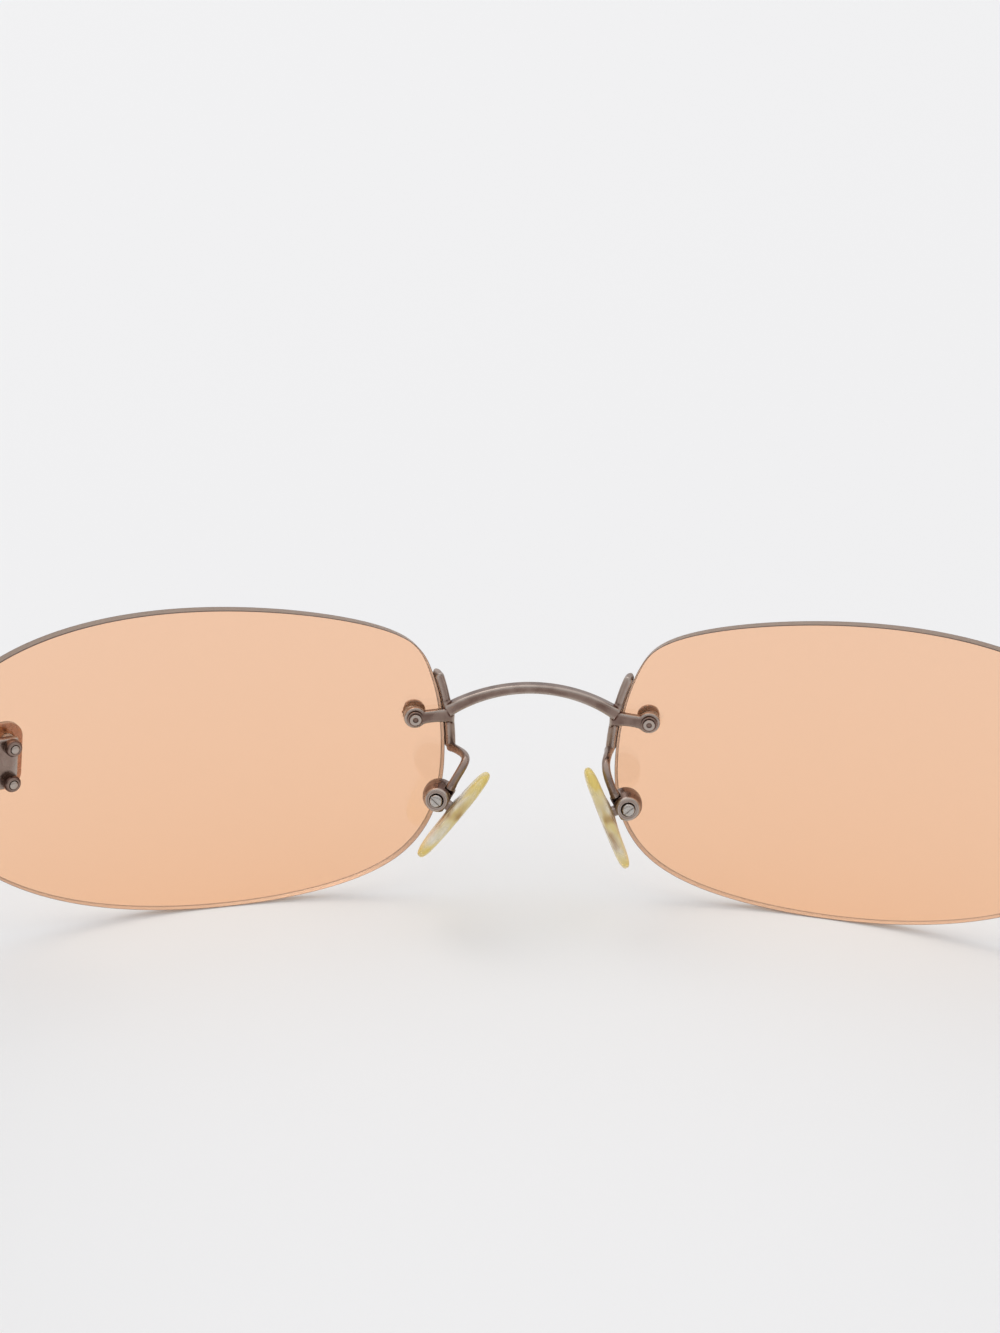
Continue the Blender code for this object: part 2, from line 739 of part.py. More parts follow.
def make_nose_pad(side):
    frame = pad_rest_frame(side)
    mesh = bpy.data.meshes.new("pad")
    bm = bmesh.new()
    bmesh.ops.create_cube(bm, size=2.0)
    bmesh.ops.subdivide_edges(bm, edges=bm.edges, cuts=2, use_grid_fill=True)
    # An even plate with rounded edges, whose upper end is the narrower one
    for vert in bm.verts:
        if abs(vert.co.x) < 0.5:
            vert.co.x *= 1.5
        if abs(vert.co.y) < 0.5:
            vert.co.y *= 1.5
        vert.co.y *= 1.0 - 0.14 * vert.co.x
    bm.to_mesh(mesh)
    bm.free()
    pad = new_object(mesh)
    soft = pad.modifiers.new("soft", "SUBSURF")
    soft.levels = 2
    soft.render_levels = 2
    apply_modifiers(pad)
    corners = np.array([vertex.co for vertex in pad.data.vertices])
    size = corners.max(axis=0) - corners.min(axis=0)
    wanted = Vector((PAD_LENGTH, PAD_WIDTH, PAD_THICKNESS))
    scale = Matrix.Diagonal((*(w / s for w, s in zip(wanted, size)), 1.0))
    middle = (-PAD_SLIDE_DOWN, 0, PAD_STAND_OFF + PAD_THICKNESS / 2)
    pad.data.transform(Matrix.Translation(middle) @ scale)
    pad.matrix_world = frame
    cut(pad, core_plate(frame, FIT))
    return cut(pad, core_neck(frame, FIT, -PAD_THICKNESS))


# Plaque, end piece and their fasteners

def end_seat():
    return COLLAR_THICKNESS + 2 * SEAT_GAP


def end_back():
    return end_seat() + END_PLATE_THICKNESS


def make_plaque():
    frame = post_frame()
    high = -LENS_THICKNESS - 2 * SEAT_GAP
    low = high - PLAQUE_THICKNESS
    outline = rounded_section(PLAQUE_WIDTH, PLAQUE_LENGTH, PLAQUE_WIDTH * 0.42, 5)
    rim = rounded_section(PLAQUE_WIDTH * 0.86, PLAQUE_LENGTH * 0.92, PLAQUE_WIDTH * 0.36, 5)
    shoulder = low + PLAQUE_THICKNESS * 0.3
    plaque = loft([
        (frame @ Matrix.Translation((0, 0, height)), section)
        for height, section in ((low, rim), (shoulder, outline), (high, outline))
    ])
    end = end_back() + SEAT_GAP + END_NUT_HEIGHT + POST_PROUD
    for place in post_places():
        post = [
            (0, end),
            (POST_RADIUS * 0.6, end - POST_PROUD * 0.3),
            (POST_RADIUS, end - POST_PROUD),
            (POST_RADIUS, high - PLAQUE_THICKNESS / 2),
            (0, high - PLAQUE_THICKNESS / 2),
        ]
        join(plaque, turned(post, place))
    return plaque


def make_end_nut(place):
    low = end_back() + SEAT_GAP
    inner = POST_RADIUS + FIT
    top = low + END_NUT_HEIGHT
    edge = END_NUT_RADIUS * 0.3
    profile = [
        (inner, top),
        (END_NUT_RADIUS - edge, top),
        (END_NUT_RADIUS, top - edge),
        (END_NUT_RADIUS, low),
        (inner, low),
        (inner, top),
    ]
    return turned(profile, place)


def make_end_sleeve(place):
    return sleeve(POST_RADIUS + FIT, END_NUT_RADIUS, place)


def hinge_frame():
    """Frame on the right hinge's axis, upright in the front's frame."""
    last = end_path()[-1][0].translation
    inner_face = last.x - TEMPLE_THICKNESS / 2
    return Matrix.Translation((inner_face - KNUCKLE_RADIUS - 2 * FIT, last.y - BUTT_GAP / 2, POST_HEIGHT))


def end_path():
    """Stations along the end piece: frame with X through its thickness and Y up it, height, thickness."""
    offset = end_seat() + END_PLATE_THICKNESS / 2
    post_x = NOSE_GAP / 2 + LENS_WIDTH - POST_INSET
    inner = post_x - END_PLATE_INNER_REACH
    outer = NOSE_GAP / 2 + LENS_WIDTH + END_PLATE_WRAP_REACH
    turn_to_front = Matrix.Rotation(math.radians(-90), 4, "Y")
    stations = []
    for share in np.linspace(0, 1, 7):
        frame = lens_frame(inner + (outer - inner) * share, POST_HEIGHT)
        taper = min(max((share - 0.35) / 0.5, 0), 1)
        height = END_PLATE_HEIGHT + (HINGE_HEIGHT - END_PLATE_HEIGHT) * taper
        place = frame @ Matrix.Translation((0, 0, offset)) @ turn_to_front
        stations.append((place, height, END_PLATE_THICKNESS))
    # The bend from the lens's slant to straight back
    start = stations[-1][0]
    travel = start.to_3x3() @ Vector((0, 0, -1))
    heading = math.atan2(-travel.y, travel.x)
    corner = start.translation
    for share in np.linspace(0, 1, 5)[1:]:
        angle = heading + (math.pi / 2 - heading) * share
        x = corner.x + END_BEND_RADIUS * (math.sin(angle) - math.sin(heading))
        y = corner.y - END_BEND_RADIUS * (math.cos(heading) - math.cos(angle))
        upright = Matrix.Translation((x, y, POST_HEIGHT)) @ plan_frame(angle)
        stations.append((upright, HINGE_HEIGHT, END_PLATE_THICKNESS))
    tail = stations[-1][0]
    back = Matrix.Translation((0, -HINGE_SET_BACK, 0)) @ tail
    stations.append((back, HINGE_HEIGHT, TEMPLE_THICKNESS))
    return stations


def plan_frame(heading):
    """Upright frame whose Z runs against the heading, with X outward and Y up."""
    travel = Vector((math.cos(heading), -math.sin(heading), 0))
    up = Vector((0, 0, 1))
    return Matrix((up.cross(-travel), up, -travel)).transposed().to_4x4()


def make_end_piece():
    stations = []
    for frame, height, thickness in end_path():
        corner = thickness * 0.25
        stations.append((frame, rounded_section(thickness, height, corner, 2)))
    piece = loft(stations)
    for place in post_places():
        cut(piece, cylinder(POST_RADIUS + FIT, 0, 3 * end_back(), place))
    return piece


def make_front_hinge():
    frame = hinge_frame()
    half = HINGE_HEIGHT / 2
    leaf_outer = KNUCKLE_RADIUS + FIT
    slot = MIDDLE_KNUCKLE_HEIGHT / 2 + HINGE_PLAY
    room = KNUCKLE_RADIUS + 3 * FIT
    hinge = block((LEAF_INNER, 0, -half), (leaf_outer, LEAF_LENGTH, half), frame)
    join(hinge, cylinder(KNUCKLE_RADIUS, -half, half, frame))
    cut(hinge, block((-2 * room, -2 * room, -slot), (2 * room, room, slot), frame))
    return cut(hinge, cylinder(HINGE_PIN_RADIUS + FIT, -2 * half, 2 * half, frame))


def make_rear_hinge():
    frame = hinge_frame()
    half = HINGE_HEIGHT / 2
    leaf_outer = KNUCKLE_RADIUS + FIT
    tongue = MIDDLE_KNUCKLE_HEIGHT / 2
    room = KNUCKLE_RADIUS + 3 * FIT
    hinge = block((LEAF_INNER, -LEAF_LENGTH, -half), (leaf_outer, -room, half), frame)
    join(hinge, block((LEAF_INNER, -room * 1.2, -tongue), (leaf_outer, -BUTT_GAP / 2, tongue), frame))
    join(hinge, cylinder(KNUCKLE_RADIUS, -tongue, tongue, frame))
    return cut(hinge, cylinder(HINGE_PIN_RADIUS + FIT, -2 * half, 2 * half, frame))


def make_hinge_screw():
    half = HINGE_HEIGHT / 2
    return slotted_screw(hinge_frame(), half + SEAT_GAP, HINGE_HEAD_RADIUS, HINGE_HEAD_THICKNESS,
                         HINGE_PIN_RADIUS, -half + FIT)


# Temple and tip

def temple_station(distance):
    """Frame at a distance along the temple: X outward, Y up across it, Z back along it."""
    bend = math.radians(TEMPLE_BEND_ANGLE)
    along, down, angle = min(distance, TEMPLE_STRAIGHT), 0.0, 0.0
    if distance > TEMPLE_STRAIGHT:
        angle = min((distance - TEMPLE_STRAIGHT) / TEMPLE_BEND_RADIUS, bend)
        along += TEMPLE_BEND_RADIUS * math.sin(angle)
        down += TEMPLE_BEND_RADIUS * (1 - math.cos(angle))
        rest = distance - TEMPLE_STRAIGHT - TEMPLE_BEND_RADIUS * angle
        along += rest * math.cos(bend) if angle == bend else 0
        down += rest * math.sin(bend) if angle == bend else 0
    hinge = hinge_frame()
    outward = KNUCKLE_RADIUS + 2 * FIT + TEMPLE_THICKNESS / 2
    slope = Matrix.Rotation(math.radians(TEMPLE_SLOPE), 4, "X")
    run = hinge @ Matrix.Translation((outward, -BUTT_GAP / 2, 0)) @ slope
    turn = Matrix.Rotation(angle + math.radians(90), 4, "X")
    return run @ Matrix.Translation((0, -along, -down)) @ turn


def temple_end():
    return TEMPLE_STRAIGHT + TEMPLE_BEND_RADIUS * math.radians(TEMPLE_BEND_ANGLE) + TEMPLE_TIP_LENGTH


def bend_distances(start, end, count):
    return [start + (end - start) * share for share in np.linspace(0, 1, count)]


def core_distances():
    return bend_distances(SLEEVE_START - FIT, temple_end() - CORE_END_SHORT, 10)


def make_temple():
    square = hinge_frame() @ Matrix.Translation(
        (KNUCKLE_RADIUS + 2 * FIT + TEMPLE_THICKNESS / 2, -BUTT_GAP / 2, 0))
    square = square @ Matrix.Rotation(math.radians(90), 4, "X")
    front = rounded_section(TEMPLE_THICKNESS, HINGE_HEIGHT, TEMPLE_THICKNESS * 0.25, 2)
    stations = [(square, front)]
    for share in (0.05, 0.25, 0.5, 0.75, 1.0):
        height = TEMPLE_FRONT_HEIGHT + (TEMPLE_REAR_HEIGHT - TEMPLE_FRONT_HEIGHT) * share
        section = rounded_section(TEMPLE_THICKNESS, height, TEMPLE_THICKNESS * 0.25, 2)
        stations.append((temple_station((SLEEVE_START - 3 * FIT) * share), section))
    core = rounded_section(CORE_WIDTH, CORE_HEIGHT, CORE_WIDTH * 0.25, 2)
    stations += [(temple_station(distance), core) for distance in core_distances()]
    return loft(stations)


def make_temple_tip():
    end = temple_end()
    sections = [(SLEEVE_START, TIP_MOUTH_WIDTH, TIP_MOUTH_HEIGHT)]
    for distance in bend_distances(SLEEVE_START + TIP_WIDTH, end - TIP_HEIGHT, 12):
        share = min((distance - SLEEVE_START) / (TEMPLE_STRAIGHT - SLEEVE_START), 1)
        width = TIP_MOUTH_WIDTH + (TIP_WIDTH - TIP_MOUTH_WIDTH) * share
        height = TIP_MOUTH_HEIGHT + (TIP_HEIGHT - TIP_MOUTH_HEIGHT) * share
        sections.append((distance, width, height))
    for angle in (35, 60, 80):
        fade = math.cos(math.radians(angle))
        reach = end - TIP_HEIGHT * (1 - math.sin(math.radians(angle)))
        sections.append((reach, TIP_WIDTH * fade, TIP_HEIGHT * fade))
    tip = loft([
        (temple_station(distance), rounded_section(width, height, min(width, height) * 0.42, 4))
        for distance, width, height in sections
    ])
    bore = rounded_section(CORE_WIDTH + 2 * FIT, CORE_HEIGHT + 2 * FIT, CORE_WIDTH * 0.25, 2)
    distances = core_distances()
    distances = [SLEEVE_START - TIP_WIDTH] + distances[1:-1] + [distances[-1] + 2 * FIT]
    return cut(tip, loft([(temple_station(distance), bore) for distance in distances]))


# Assembly

def finish(obj, name, material, collection, parent, frame):
    """Names a solid and hangs it on its empty with its origin at the given frame."""
    bpy.context.view_layer.update()
    obj.data.transform(frame.inverted() @ obj.matrix_world)
    obj.name = name
    obj.data.name = name
    obj.data.materials.clear()
    obj.data.materials.append(material)
    obj.data.shade_smooth()
    obj.data.set_sharp_from_angle(angle=math.radians(35))
    for owner in list(obj.users_collection):
        owner.objects.unlink(obj)
    collection.objects.link(obj)
    obj.parent = parent
    obj.matrix_parent_inverse = Matrix.Identity(4)
    obj.matrix_basis = parent.matrix_world.inverted() @ frame
    return obj


def mirrored(obj, name):
    """The left-hand copy of a finished right-hand solid."""
    twin = obj.copy()
    twin.data = obj.data.copy()
    twin.data.transform(MIRROR)
    twin.data.flip_normals()
    twin.name = name
    twin.data.name = name
    obj.users_collection[0].objects.link(twin)
    return twin


def new_empty(name, collection, parent, frame):
    empty = bpy.data.objects.new(name, None)
    empty.empty_display_size = 5 * MM
    collection.objects.link(empty)
    empty.parent = parent
    above = parent.matrix_world if parent else Matrix.Identity(4)
    empty.matrix_basis = above.inverted() @ frame
    bpy.context.view_layer.update()
    return empty


def lowest(objects, lean):
    """The (y, z) point that lies lowest when the front leans forward by an angle."""
    turn = np.array(Matrix.Rotation(-lean, 3, "X"))
    points = []
    for obj in objects:
        co = np.empty(len(obj.data.vertices) * 3)
        obj.data.vertices.foreach_get("co", co)
        place = np.array(obj.matrix_world)
        points.append(co.reshape(-1, 3) @ place[:3, :3].T + place[:3, 3])
    points = np.concatenate(points)
    return points[(points @ turn.T)[:, 2].argmin(), 1:]


def stand_on_table(front, parts):
    """Leans the front until lens edges and temple tips are level, then centres it on the origin."""
    bpy.context.view_layer.update()
    lenses = [parts["lens_right"], parts["lens_left"]]
    tips = [parts["temple_tip_right"], parts["temple_tip_left"]]
    lean = 0.0
    for _ in range(6):
        lens_point, tip_point = lowest(lenses, lean), lowest(tips, lean)
        lean = math.atan2(lens_point[1] - tip_point[1], lens_point[0] - tip_point[0])
    front.matrix_basis = Matrix.Rotation(-lean, 4, "X")
    bpy.context.view_layer.update()
    corners = []
    for obj in parts.values():
        co = np.empty(len(obj.data.vertices) * 3)
        obj.data.vertices.foreach_get("co", co)
        place = np.array(obj.matrix_world)
        corners.append(co.reshape(-1, 3) @ place[:3, :3].T + place[:3, 3])
    corners = np.concatenate(corners)
    low, high = corners.min(axis=0), corners.max(axis=0)
    middle = (low + high) / 2
    front.matrix_basis = Matrix.Translation((-middle[0], -middle[1], -low[2])) @ front.matrix_basis
    bpy.context.view_layer.update()


def build():
    clear_scene()
    collection = new_collection("rimless_sunglasses")
    metal = new_material("antique_pewter", (0.20, 0.15, 0.13), 0.38, metallic=1.0)
    bright = new_material("bright_steel", (0.62, 0.60, 0.58), 0.22, metallic=1.0)
    amber = new_material("amber_lens", (0.85, 0.50, 0.30), 0.05, alpha=0.45)
    clear = new_material("clear_nylon", (0.85, 0.83, 0.78), 0.25, alpha=0.5)
    soft = new_material("aged_silicone", (0.80, 0.72, 0.38), 0.35, alpha=0.7)
    tip = new_material("brown_acetate", (0.22, 0.10, 0.05), 0.3)

    front = new_empty("front_frame", collection, None, Matrix.Identity(4))
    upright = Matrix.Identity(4)
    parts = {}

    def pair(name, solid, material, parents, frame, suffix=""):
        """A right-hand solid and its left-hand twin, each on its own empty."""
        right_name, left_name = f"{name}_right{suffix}", f"{name}_left{suffix}"
        right = finish(solid, right_name, material, collection, parents[0], frame)
        left = mirrored(right, left_name)
        left.parent = parents[1]
        left.matrix_basis = parents[1].matrix_world.inverted() @ MIRROR @ frame @ MIRROR
        parts[right_name], parts[left_name] = right, left

    fixed = (front, front)
    nose_hole = nose_hole_frame()
    pair("lens", make_lens(), amber, fixed, lens_middle_frame())
    pair("bridge_strap", make_bridge_strap(), metal, fixed, nose_hole)
    pair("bridge_screw", make_bridge_screw(), metal, fixed, nose_hole)
    pair("bridge_nut", make_bridge_nut(), metal, fixed, nose_hole)
    pair("bridge_washer", make_bridge_washer(), clear, fixed, nose_hole)
    pair("bridge_sleeve", make_bridge_sleeve(), clear, fixed, nose_hole)
    parts["bridge_bar"] = finish(make_bridge_bar(), "bridge_bar", metal, collection, front, upright)

    for side in ("right", "left"):
        flip = MIRROR if side == "left" else Matrix.Identity(4)
        axis = flip @ pad_axis_frame(side) @ flip
        pivot = new_empty(f"pad_pivot_{side}", collection, front, axis)
        for name, solid, material, parent in (
            ("pad_arm", make_pad_arm(side), metal, front),
            ("pad_box", make_pad_box(side), metal, front),
            ("pad_screw", make_pad_screw(side), bright, front),
            ("pad_core", make_pad_core(side), metal, pivot),
            ("nose_pad", make_nose_pad(side), soft, pivot),
        ):
            bpy.context.view_layer.update()
            solid.matrix_world = flip @ solid.matrix_world
            full_name = f"{name}_{side}"
            parts[full_name] = finish(in_place(solid), full_name, material, collection, parent, axis)

    post = post_frame()
    pair("plaque", make_plaque(), metal, fixed, post)
    pair("end_piece", make_end_piece(), metal, fixed, post)
    for place, row in zip(post_places(), ("upper", "lower")):
        pair("end_nut", make_end_nut(place), metal, fixed, place, f"_{row}")
        pair("end_sleeve", make_end_sleeve(place), clear, fixed, place, f"_{row}")

    hinge = hinge_frame()
    pair("front_hinge", make_front_hinge(), metal, fixed, hinge)
    pair("hinge_screw", make_hinge_screw(), bright, fixed, hinge)
    hinges = (
        new_empty("temple_hinge_right", collection, front, hinge),
        new_empty("temple_hinge_left", collection, front, MIRROR @ hinge @ MIRROR),
    )
    pair("rear_hinge", make_rear_hinge(), metal, hinges, hinge)
    pair("temple", make_temple(), metal, hinges, hinge)
    pair("temple_tip", make_temple_tip(), tip, hinges, hinge)

    stand_on_table(front, parts)


build()
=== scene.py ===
import json
import math

import bmesh
import bpy
import numpy as np
from mathutils import Matrix
from mathutils.geometry import delaunay_2d_cdt


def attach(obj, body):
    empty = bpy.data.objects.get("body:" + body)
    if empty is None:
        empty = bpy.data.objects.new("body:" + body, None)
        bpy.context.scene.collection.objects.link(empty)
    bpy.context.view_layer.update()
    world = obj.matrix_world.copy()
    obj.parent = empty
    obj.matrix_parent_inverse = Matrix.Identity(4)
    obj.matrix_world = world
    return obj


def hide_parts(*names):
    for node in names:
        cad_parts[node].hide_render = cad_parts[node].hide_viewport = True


# Rimless sunglasses. Sizes are in millimetres, in the front's own upright frame: X to the wearer's
# right, Y forward and Z up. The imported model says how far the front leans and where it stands.

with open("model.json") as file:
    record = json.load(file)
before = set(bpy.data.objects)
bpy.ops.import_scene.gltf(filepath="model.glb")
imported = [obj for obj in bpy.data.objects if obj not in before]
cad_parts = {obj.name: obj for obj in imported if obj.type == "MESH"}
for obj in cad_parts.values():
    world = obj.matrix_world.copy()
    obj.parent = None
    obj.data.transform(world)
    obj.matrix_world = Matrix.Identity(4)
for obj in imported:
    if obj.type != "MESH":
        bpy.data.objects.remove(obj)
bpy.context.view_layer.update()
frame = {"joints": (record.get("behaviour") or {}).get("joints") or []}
mm = 0.001


# The front's frame in the world

joints = {joint["name"]: joint for joint in frame["joints"]}
frontUp = np.array(joints["temple_fold_left"]["axis"], float)
frontUp /= np.linalg.norm(frontUp)
frontTurn = np.array([[1, 0, 0], [0, frontUp[2], frontUp[1]], [0, -frontUp[1], frontUp[2]]])


def unit(vector):
    return vector / np.linalg.norm(vector, axis=-1, keepdims=True)


def shift(x, y, z):
    place = np.eye(4)
    place[:3, 3] = x, y, z
    return place


def turnAbout(axis, degrees):
    return np.array(Matrix.Rotation(math.radians(degrees), 4, axis))


def axesAt(origin, x, y, z):
    place = np.eye(4)
    place[:3, 0], place[:3, 1], place[:3, 2], place[:3, 3] = x, y, z, origin
    return place


def put(points, place):
    # points of a local frame, moved to where that frame stands
    return points @ place[:3, :3].T + place[:3, 3]


# Curves

def closedSpline(points, steps):
    # the periodic cubic through the points: its slopes come from one linear system that keeps the curvature
    # continuous
    points = np.array(points)
    one = np.eye(len(points))
    system = 4 * one + np.roll(one, 1, axis=1) + np.roll(one, -1, axis=1)
    slopes = np.linalg.solve(system, 3 * (np.roll(points, -1, axis=0) - np.roll(points, 1, axis=0)))
    t = (np.arange(steps) / steps)[None, :, None]
    start, end = points[:, None], np.roll(points, -1, axis=0)[:, None]
    leave, arrive = slopes[:, None], np.roll(slopes, -1, axis=0)[:, None]
    curve = (2 * t**3 - 3 * t**2 + 1) * start + (t**3 - 2 * t**2 + t) * leave
    curve = curve + (3 * t**2 - 2 * t**3) * end + (t**3 - t**2) * arrive
    return curve.reshape(-1, 2)


def bezier(a, b, c, d, count):
    # the cubic that leaves a towards b and reaches d from c
    t = np.linspace(0, 1, count)[:, None]
    return (1 - t)**3 * a + 3 * (1 - t)**2 * t * b + 3 * (1 - t) * t**2 * c + t**3 * d


def parabola(a, b, c, count):
    # the curve that leaves a towards b and reaches c from b, without a itself
    t = np.linspace(0, 1, count)[1:, None]
    return (1 - t)**2 * a + 2 * (1 - t) * t * b + t**2 * c


def roundCorners(points, radius, steps=4, closed=False):
    # each corner becomes the parabola between two points a radius before and after it, at most 45 % of the
    # shorter side
    points = np.asarray(points, float)
    back, ahead = np.roll(points, 1, axis=0) - points, np.roll(points, -1, axis=0) - points
    backLength = np.linalg.norm(back, axis=1)[:, None]
    aheadLength = np.linalg.norm(ahead, axis=1)[:, None]
    reach = np.minimum(radius, 0.45 * np.minimum(backLength, aheadLength))
    start, end = points + back / backLength * reach, points + ahead / aheadLength * reach
    t = np.linspace(0, 1, steps + 1)[None, :, None]
    curve = (1 - t)**2 * start[:, None] + 2 * (1 - t) * t * points[:, None] + t**2 * end[:, None]
    if closed:
        return curve.reshape(-1, 2)
    return np.concatenate([points[:1], curve[1:-1].reshape(-1, 2), points[-1:]])


def roundedSection(width, height, corner, count):
    # quarter circles in the four corners of a rectangle. Width, height and corner may be arrays, one section
    # for each of their values.
    width, height, corner = (np.atleast_1d(np.asarray(v, float))[:, None] for v in (width, height, corner))
    quarter = np.repeat(np.arange(4), count)[None]
    angle = (quarter + np.tile(np.linspace(0, 1, count), 4)[None]) * math.pi / 2
    sideX = np.array([1, -1, -1, 1])[quarter]
    sideY = np.array([1, 1, -1, -1])[quarter]
    x = sideX * (width / 2 - corner) + corner * np.cos(angle)
    y = sideY * (height / 2 - corner) + corner * np.sin(angle)
    return np.stack(np.broadcast_arrays(x, y), axis=-1)


# Shells: a dictionary of points and of faces

def gridShell(rows, ends=True, ring=False):
    # rows is stations by points round by xyz: a quad joins each point to the next round and the next station.
    # An open end closes on a fan about the mean of its ring; with ring, the last station joins the first.
    count, around = rows.shape[:2]
    index = np.arange(count * around).reshape(count, around)
    beside = np.roll(index, -1, axis=1)
    last = count if ring else count - 1
    here, there = index[:last], np.roll(index, -1, axis=0)[:last]
    hereBeside, thereBeside = beside[:last], np.roll(beside, -1, axis=0)[:last]
    faces = np.stack([here, hereBeside, thereBeside, there], axis=-1).reshape(-1, 4).tolist()
    points = rows.reshape(-1, 3)
    if ends and not ring:
        centre = count * around
        points = np.concatenate([points, rows[[0, -1]].mean(axis=1)])
        faces += np.stack([beside[0], index[0], np.full(around, centre)], axis=-1).tolist()
        faces += np.stack([index[-1], beside[-1], np.full(around, centre + 1)], axis=-1).tolist()
    return {"points": points, "faces": faces}


def sweep(centres, across, upward, sections):
    # a point is its station's centre, plus the section's x along across and its y along upward
    rows = centres[:, None] + sections[..., :1] * across[:, None] + sections[..., 1:] * upward[:, None]
    return gridShell(rows)


def turned(profile, place, steps=96, ring=False):
    # every (radius, height) of the profile goes round local Z
    angle = np.linspace(0, 2 * math.pi, steps, endpoint=False)
    radius, height = np.asarray(profile, float).T[:, :, None]
    rows = np.stack([radius * np.cos(angle), radius * np.sin(angle), height + 0 * angle], axis=-1)
    return gridShell(put(rows, place), ring=ring)


def slab(outline, low, high, place, edge=0.1, steps=4):
    # rings of an anticlockwise outline, drawn in by edge * (1 - sin a) and raised by edge * (1 - cos a) at
    # both faces
    outline = np.asarray(outline, float)
    along = unit(np.roll(outline, -1, axis=0) - np.roll(outline, 1, axis=0))
    inward = np.stack([-along[:, 1], along[:, 0]], axis=1)
    a = np.linspace(0, math.pi / 2, steps + 1)
    draw = np.concatenate([edge * (1 - np.sin(a)), edge * (1 - np.sin(a[::-1]))])
    height = np.concatenate([low + edge * (1 - np.cos(a)), high - edge * (1 - np.cos(a[::-1]))])
    flat = outline[None] + inward[None] * draw[:, None, None]
    rows = np.concatenate([flat, np.broadcast_to(height[:, None, None], (*flat.shape[:2], 1))], axis=-1)
    shell = gridShell(put(rows, place), ends=False)
    count, around = rows.shape[:2]
    shell["faces"] += [list(range(around))[::-1], list(range((count - 1) * around, count * around))]
    return shell


def box(low, high, place):
    # the eight corners of a block
    low, high = np.array(low, float), np.array(high, float)
    pick = np.array([[0, 0, 0], [1, 0, 0], [1, 1, 0], [0, 1, 0], [0, 0, 1], [1, 0, 1], [1, 1, 1], [0, 1, 1]])
    faces = [[0, 3, 2, 1], [4, 5, 6, 7], [0, 1, 5, 4], [1, 2, 6, 5], [2, 3, 7, 6], [3, 0, 4, 7]]
    return {"points": put(low + pick * (high - low), place), "faces": faces}


def rod(radius, low, high, place, steps=64):
    return turned([(radius, low), (radius, high)], place, steps)


# From shells to objects

sides = ("right", "left")
handed = {"right": (1, 1, 1), "left": (-1, 1, 1)}


def newObject(name, shells, side="right"):
    # the shells in one mesh, mirrored for the left, moved from the front's frame to the world, and with every
    # face turned outward
    points, faces, start = [], [], 0
    for shell in shells:
        points.append(shell["points"])
        faces += [[corner + start for corner in face] for face in shell["faces"]]
        start += len(shell["points"])
    points = np.concatenate(points) * handed[side]
    mesh = bpy.data.meshes.new(name)
    mesh.from_pydata(points * mm @ frontTurn.T + frontPlace, [], faces)
    tidy = bmesh.new()
    tidy.from_mesh(mesh)
    bmesh.ops.remove_doubles(tidy, verts=tidy.verts, dist=1e-8)
    bmesh.ops.recalc_face_normals(tidy, faces=tidy.faces)
    tidy.to_mesh(mesh)
    tidy.free()
    piece = bpy.data.objects.new(name, mesh)
    bpy.context.scene.collection.objects.link(piece)
    return piece


def applied(piece):
    # the piece with its modifiers made real
    graph = bpy.context.evaluated_depsgraph_get()
    mesh = bpy.data.meshes.new_from_object(piece.evaluated_get(graph), depsgraph=graph)
    piece.modifiers.clear()
    old, piece.data = piece.data, mesh
    bpy.data.meshes.remove(old)
    return piece


def combined(piece, operation, shells, side):
    # exact Boolean of the piece with each shell in turn
    for shell in shells:
        tool = newObject("tool", [shell], side)
        step = piece.modifiers.new("combine", "BOOLEAN")
        step.operation, step.object, step.solver = operation, tool, "EXACT"
        applied(piece)
        bpy.data.objects.remove(tool)
    return piece


def melted(piece, grain, passes):
    # an even skin of quads at the grain's size, then relaxed: edges and joints get the soft rounding of cast
    # and polished metal
    skin = piece.modifiers.new("skin", "REMESH")
    skin.mode, skin.voxel_size, skin.adaptivity = "VOXEL", grain * mm, 0.0
    relax = piece.modifiers.new("relax", "SMOOTH")
    relax.factor, relax.iterations = 0.5, passes
    return applied(piece)


def smoothed(piece, sharpAngle=35, weighted=True):
    piece.data.shade_smooth()
    piece.data.set_sharp_from_angle(angle=math.radians(sharpAngle))
    if weighted:
        step = piece.modifiers.new("normals", "WEIGHTED_NORMAL")
        step.keep_sharp = True
        applied(piece)
    return piece


def readAll(items, name, width, kind=float):
    # one value, or one row of values, for each of a mesh's items
    values = np.empty(len(items) * width, kind)
    items.foreach_get(name, values)
    return values.reshape(-1, width) if width > 1 else values


def addWear(piece, rest=0.0):
    # curvature along each edge is 2 n.(p - q) / |p - q|^2, averaged at its ends and then with the neighbours;
    # one over 0.5 mm reads as 1 on a ridge, 0 in a hollow, and 0.5 is flat. The piece's own plain roundness,
    # rest per millimetre, is taken off first, so that a wire isn't all ridge.
    mesh = piece.data
    count = len(mesh.vertices)
    points, normals = readAll(mesh.vertices, "co", 3), readAll(mesh.vertices, "normal", 3)
    a, b = readAll(mesh.edges, "vertices", 2, np.int64).T
    step = points[a] - points[b]
    length = np.maximum((step**2).sum(axis=1), 1e-12)
    bend = np.concatenate([(step * normals[a]).sum(axis=1), -(step * normals[b]).sum(axis=1)])
    bend = 2 * bend / np.concatenate([length, length])
    ends, others = np.concatenate([a, b]), np.concatenate([b, a])
    number = np.maximum(np.bincount(ends, minlength=count), 1)
    curve = np.bincount(ends, weights=np.clip(bend, -8000, 8000), minlength=count) / number
    for _ in range(3):
        curve = 0.4 * curve + 0.6 * np.bincount(ends, weights=curve[others], minlength=count) / number
    lightness = np.clip(0.5 + 0.25 * (curve * mm - rest), 0, 1)
    mesh.attributes.new("wearAndHighlight", "FLOAT", "POINT").data.foreach_set("value", lightness.astype(np.float32))
    return piece


